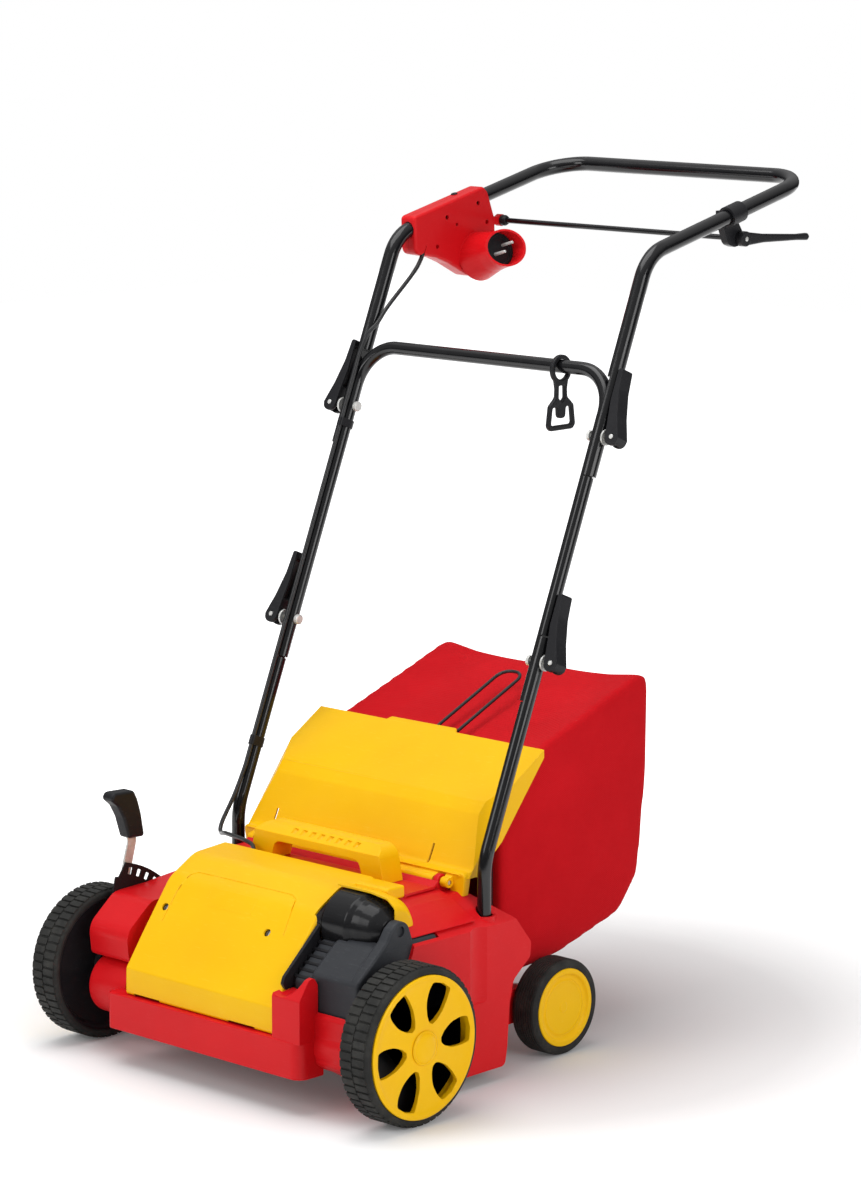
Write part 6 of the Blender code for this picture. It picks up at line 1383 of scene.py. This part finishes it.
# %% Inlet insert, pins and lock button
insert = bar("inlet_insert_black", bore_start + inlet_axis * 0.0006, bore_start + inlet_axis * 0.011, 0.0217, 48)
cut(insert, bar("dish", bore_start + inlet_axis * 0.0090, bore_start + inlet_axis * 0.02, 0.0175, 48))
smooth(round_edges(insert, 0.0006, 2, 40))
place(insert, "upper", "black plastic", "inlet_insert")
for number, side in enumerate((-1, 1), 1):
    spot = bore_start + inlet_side * (side * 0.0060) + inlet_up * (side * 0.0070)
    prong = bar(f"inlet_pin_{number}", spot + inlet_axis * 0.008, spot + inlet_axis * 0.0300, 0.0024, 24, 0.0019)
    smooth(round_edges(prong, 0.0009, 3, 40))
    place(prong, "upper", "zinc steel", "inlet_insert")
button_section = fillet([(0, -0.0026), (0.0042, -0.0026), (0.0042, 0.0015), (0, 0.0018)], [0, 0.0002, 0.0012, 0], 5)
button = smooth(turned("lock_button_black", button_section, 32, button_spot, -push, (1, 0, 0)), 40)
place(button, "button", "black plastic", "lock_button")

# %% [markdown]
# ## Switch lever
# One steel rod runs across the handle from the switch box and ends in a lever beside the right tube. A black bracket
# is clamped round that tube and carries the rod. The lever is drawn from the side, then rounded all along its edges.

# %% Rod and lever
rod = bar_across("switch_lever_black", -0.2035, 0.2120, LEVER_AXIS, 0.0035, 32)
flange_section = fillet([(0, -0.1978), (0.0070, -0.1978), (0.0070, -0.1925), (0.0052, -0.1890), (0, -0.1890)],
                        [0, 0.0008, 0.001, 0.001, 0], 4)
flange = turned("lever_flange", flange_section, 40, (0, *LEVER_AXIS))
lever_hub = round_edges(bar_across("lever_hub", 0.2010, 0.2120, LEVER_AXIS, 0.0095, 48), 0.0014, 3, 40)
lever_outline = [(ROD_Y + 0.002, ROD_Z + 0.0085)]
lever_outline += [by_elbow(*spot) for spot in (
    (0.2238, 0.0116), (0.2900, 0.0072), (0.3118, 0.0072), (0.3158, 0.0026), (0.3118, -0.0019), (0.2900, -0.0005),
    (0.2238, 0.0008))]
lever_outline += [(ROD_Y + 0.002, ROD_Z - 0.0088)]
lever_path = fillet(lever_outline, [0, 0.03, 0.05, 0.003, 0.003, 0.003, 0.05, 0.03, 0], 6, closed=True)
lever_arm = round_edges(plate("lever_arm", lever_path, 0.2030, 0.2105), 0.0024, 4, 40)
pin_section = fillet([(0, 0.2112), (0.0030, 0.2112), (0.0030, 0.2122), (0, 0.2128)], [0, 0, 0.0006, 0], 4)
pin_head = turned("lever_pin", pin_section, 32, (0, *LEVER_AXIS))
for piece, finish in ((rod, "black tube"), (flange, "black plastic"), (lever_hub, "black plastic"),
                      (lever_arm, "black plastic"), (pin_head, "zinc steel")):
    smooth(piece, 40)
    place(piece, "lever", finish, "switch_lever")

# %% Bracket round the right tube
clamp_y = ROD_Y - 0.0250
clamp_middle = Vector((TUBE_X, clamp_y, ELBOW.z + (clamp_y - ELBOW.y) * math.tan(ARM_RISE)))
half_width = Vector((0, math.cos(ARM_RISE), math.sin(ARM_RISE))) * 0.013
bracket = bar("lever_bracket_black", clamp_middle - half_width, clamp_middle + half_width, 0.0130, 64)
web_outline = [(clamp_y - 0.0120, clamp_middle.z - 0.004), (clamp_y + 0.0140, clamp_middle.z),
               (ROD_Y + 0.007, ROD_Z + 0.006), (ROD_Y + 0.005, ROD_Z - 0.008), (ROD_Y - 0.010, ROD_Z - 0.010),
               (clamp_y + 0.0020, ROD_Z - 0.006)]
neck_low = (0.1910, clamp_y - 0.0110, clamp_middle.z - 0.012)
neck_high = (0.2060, clamp_y + 0.0140, clamp_middle.z + 0.004)
join(bracket, plate("web", fillet(web_outline, [0, 0, 0.006, 0.006, 0.006, 0.012], 5, closed=True), 0.1910, 0.2005),
     block("neck", neck_low, neck_high))
right_tube = [point for point in upper_path if point[0] > 0.2099]
cut(bracket, pipe("tube way", right_tube, 0.0099, 36), bar_across("rod way", 0.18, 0.2100, LEVER_AXIS, 0.0038))
smooth(round_edges(bracket, 0.0010, 3, 40), 40)
place(bracket, "upper", "black plastic", "lever_bracket")

# %% [markdown]
# ## Catcher bag
# The bag is a sewn box of red cloth, held open by a wire frame at its mouth. Its long edges are stiff seams, and the
# panels between them hang and bulge a little. Pushing points by hand would look modelled, so a short cloth simulation
# does it: the seams and the mouth are pinned, gravity pulls on the rest, and a slight pressure stands for the air
# inside. How far a point may move is capped, so that the bag keeps the place of its CAD solid.

# %% Closed form of the bag
bag_corners = [(0.2625, 0.0990), (0.2625, 0.2750), (0.3210, 0.3695), (0.5370, 0.4455), (0.5350, 0.3180),
               (0.5200, 0.1860), (0.4850, 0.1415), (0.3660, 0.1090)]
bag_line = fillet(bag_corners, [0.005, 0.012, 0.014, 0.016, 0.020, 0.034, 0.034, 0.03], 6, closed=True)
bag = plate("catcher_bag_cloth", bag_line, -0.1690, 0.1690)
round_edges(bag, 0.0085, 4, 60)
bag.data.remesh_voxel_size = 0.0075
pick(bag)
bpy.ops.object.voxel_remesh()


def seam_distance(point):
    """How far a point of the side view lies from the bag's outline."""
    spot, nearest = Vector((point.y, point.z)), 1.0
    for first, last in zip(bag_line, bag_line[1:] + bag_line[:1]):
        first, last = Vector(first), Vector(last)
        run = last - first
        share = min(1, max(0, (spot - first).dot(run) / run.length_squared))
        nearest = min(nearest, (spot - first - run * share).length)
    return nearest


# %% Pin the seams and let the panels settle
CAP, STEPS = 0.0085, 20
pins = bag.vertex_groups.new(name="pins")
for vertex in bag.data.vertices:
    spot = vertex.co
    on_seam = abs(spot.x) > 0.160 and seam_distance(spot) < 0.010
    if on_seam or spot.y < 0.276:
        pins.add([vertex.index], 1.0, "REPLACE")
rest = [vertex.co.copy() for vertex in bag.data.vertices]
cloth = bag.modifiers.new("cloth", "CLOTH")
cloth.settings.vertex_group_mass = "pins"
cloth.settings.quality = 6
cloth.settings.mass = 0.25
cloth.settings.tension_stiffness = cloth.settings.compression_stiffness = 12
cloth.settings.shear_stiffness = 6
cloth.settings.bending_stiffness = 0.6
cloth.settings.use_pressure = True
cloth.settings.uniform_pressure_force = 1.6
cloth.settings.effector_weights.gravity = 0.5
cloth.point_cache.frame_end = STEPS
for step in range(1, STEPS + 1):
    bpy.context.scene.frame_set(step)
pick(bag)
bpy.ops.object.modifier_apply(modifier="cloth")
bpy.context.scene.frame_set(1)
moved = 0.0
for vertex, start in zip(bag.data.vertices, rest):
    offset = vertex.co - start
    moved = max(moved, offset.length)
    if offset.length > CAP:
        vertex.co = start + offset * (CAP / offset.length)
bag.vertex_groups.clear()
print(f"the cloth moved up to {moved * 1000:.1f} mm, capped at {CAP * 1000:.1f} mm")

# %% Open the mouth and give the cloth its thickness
apply_step(bag, "SMOOTH", factor=0.5, iterations=3)
choose_faces(bag, lambda centre, normal: centre.y < 0.272 and abs(centre.x) < 0.150 and 0.116 < centre.z < 0.262)
bpy.ops.mesh.delete(type="FACE")
leave_edit()
apply_step(bag, "SUBSURF", levels=1, render_levels=1)
apply_step(bag, "SOLIDIFY", thickness=0.0016, offset=-1)
smooth(bag, 60, even=False)
place(bag, "bag", "bag cloth", "catcher_bag")

# %% [markdown]
# ## Bag frame and carrying loop
# The mouth is sewn over a wire frame, and a second wire stands on the top as a carrying loop. Both are bent wires:
# a path with rounded corners and a round section.

# %% Wires
frame_corners = [(-0.154, 0.2587, 0.111), (0.154, 0.2587, 0.111), (0.154, 0.2587, 0.268), (-0.154, 0.2587, 0.268)]
wire = pipe("bag_frame_wire", fillet(frame_corners, 0.012, 8, closed=True), 0.0030, 16, closed=True)
smooth(wire, 60, even=False)
place(wire, "bag", "coated wire", "bag_frame")
top_slope = Vector((0, 0.2180, 0.0770)).normalized()
top_out = Vector((0, -top_slope.z, top_slope.y))
loop_start = Vector((0, 0.3210, 0.3700)) + top_slope * 0.012 + top_out * 0.0025
reach = top_slope * 0.135 + top_out * 0.010
sides = Vector((-0.004, 0, 0)), Vector((0.032, 0, 0))
loop_corners = [loop_start + sides[0], loop_start + sides[0] + reach, loop_start + sides[1] + reach,
                loop_start + sides[1]]
loop = pipe("bag_carry_loop_wire", fillet(loop_corners, [0, 0.016, 0.016, 0], 12), 0.0022, 16)
smooth(loop, 60, even=False)
place(loop, "bag", "coated wire", "bag_carry_loop")

# %% [markdown]
# ## What stays as it is
# The pieces inside the machine hardly show: the motor, its cradle, the belt, the bearings and the blade roller. Their
# CAD shapes are right, so they keep them and only get the finishes above.

# %% Finish the CAD pieces that still show
slot_finish = {
    "red_plastic": "red plastic", "yellow_plastic": "yellow plastic", "black_plastic": "black plastic",
    "grey_plastic": "grey plastic", "tyre_rubber": "tyre rubber", "painted_tube": "black tube",
    "zinc_steel": "zinc steel", "dark_steel": "dark steel", "bag_fabric": "bag cloth",
    "coated_wire": "coated wire", "motor_winding": "motor winding",
}
kept = []
for name, node in frame["nodes"].items():
    if node.hide_render:
        continue
    for slot in node.material_slots:
        slot.material = finishes[slot_finish[slot.material.name.split(".")[0]]]
    kept.append(name)
print(len(kept), "CAD pieces keep their shape:", ", ".join(sorted(kept)))

# %% [markdown]
# ## Studio
# The photograph has an even white background and a soft shadow. Large area lamps overhead, in front and on the right
# give the soft light, and a plain floor takes the shadow. The floor's own colour is also painted greyer close to the
# machine, a painted shadow laid under the cast one, and the floor fades to the white of the background further out.
# Light Path lets the camera see a plain white world, while the object is lit by a dimmer one, so that its colours
# keep their depth.

# %% Floor
bpy.ops.object.select_all(action="DESELECT")
bpy.ops.mesh.primitive_plane_add(size=14, location=(0, 0, 0))
floor = bpy.context.object
floor.name = "studio_floor"
floor_finish = bpy.data.materials.new("studio floor")
floor_finish.use_nodes = True
tree = floor_finish.node_tree
tree.nodes.clear()
path = add_node(tree, "LightPath")
seen = add_node(tree, "Math", {0: path.outputs["Is Camera Ray"], 1: path.outputs["Is Glossy Ray"]},
                operation="MAXIMUM").outputs[0]
spot = add_node(tree, "TexCoord").outputs["Object"]
far = add_node(tree, "VectorMath", {0: spot}, operation="LENGTH").outputs["Value"]
glow = times(tree, seen, remap(tree, far, 0.45, 1.3, 0.06, 1.0))
lift = add_node(tree, "Emission", {"Color": (1, 1, 1, 1), "Strength": glow})
# Painted shadow: the floor's diffuse colour goes from 0.60 within 0.15 m of the middle to 0.94 beyond 0.6 m.
shade = blend_colours(tree, remap(tree, far, 0.15, 0.60), (0.60, 0.60, 0.60), (0.94, 0.94, 0.94))
diffuse = add_node(tree, "BsdfDiffuse", {"Color": shade})
both = add_node(tree, "AddShader", {0: diffuse.outputs[0], 1: lift.outputs[0]})
add_node(tree, "OutputMaterial", {"Surface": both.outputs[0]})
floor.data.materials.append(floor_finish)

# %% World
AMBIENT = 0.42
world = bpy.data.worlds.new("studio world")
bpy.context.scene.world = world
world.use_nodes = True
tree = world.node_tree
tree.nodes.clear()
path = add_node(tree, "LightPath")
seen = add_node(tree, "Math", {0: path.outputs["Is Camera Ray"], 1: path.outputs["Is Transmission Ray"]},
                operation="MAXIMUM").outputs[0]
height = add_node(tree, "SeparateXYZ", {0: add_node(tree, "TexCoord").outputs["Generated"]}).outputs["Z"]
mirrored_sky = times(tree, path.outputs["Is Glossy Ray"], remap(tree, height, 0.05, 0.80, 0.06, 0.9))
shown = add_node(tree, "Math", {0: seen, 1: mirrored_sky}, operation="MAXIMUM").outputs[0]
ambient = times(tree, path.outputs["Is Diffuse Ray"], AMBIENT)
strength = add_node(tree, "Math", {0: shown, 1: ambient}, operation="MAXIMUM").outputs[0]
sky = add_node(tree, "Background", {"Color": (1, 1, 1, 1), "Strength": strength})
add_node(tree, "OutputWorld", {"Surface": sky.outputs[0]})
print("the world lights the machine at a strength of", AMBIENT)


# %% Lamps
def lamp(name, spot, aim, size, watts):
    light = bpy.data.lights.new(name, "AREA")
    light.shape, light.size, light.energy = "SQUARE", size, watts
    made = bpy.data.objects.new(name, light)
    bpy.context.scene.collection.objects.link(made)
    made.location = spot
    made.rotation_euler = (Vector(aim) - Vector(spot)).to_track_quat("-Z", "Y").to_euler()


lamp("overhead softbox", (-0.3, -0.5, 2.9), (0.0, 0.0, 0.3), 2.0, 42)
lamp("front left softbox", (-0.9, -2.7, 1.8), (0.0, 0.0, 0.4), 1.3, 23)
lamp("right fill", (2.8, -0.5, 1.3), (0.0, 0.0, 0.4), 1.3, 26)
bpy.context.scene.view_settings.view_transform = "Standard"
print("lamps:", [light.name for light in bpy.data.lights])
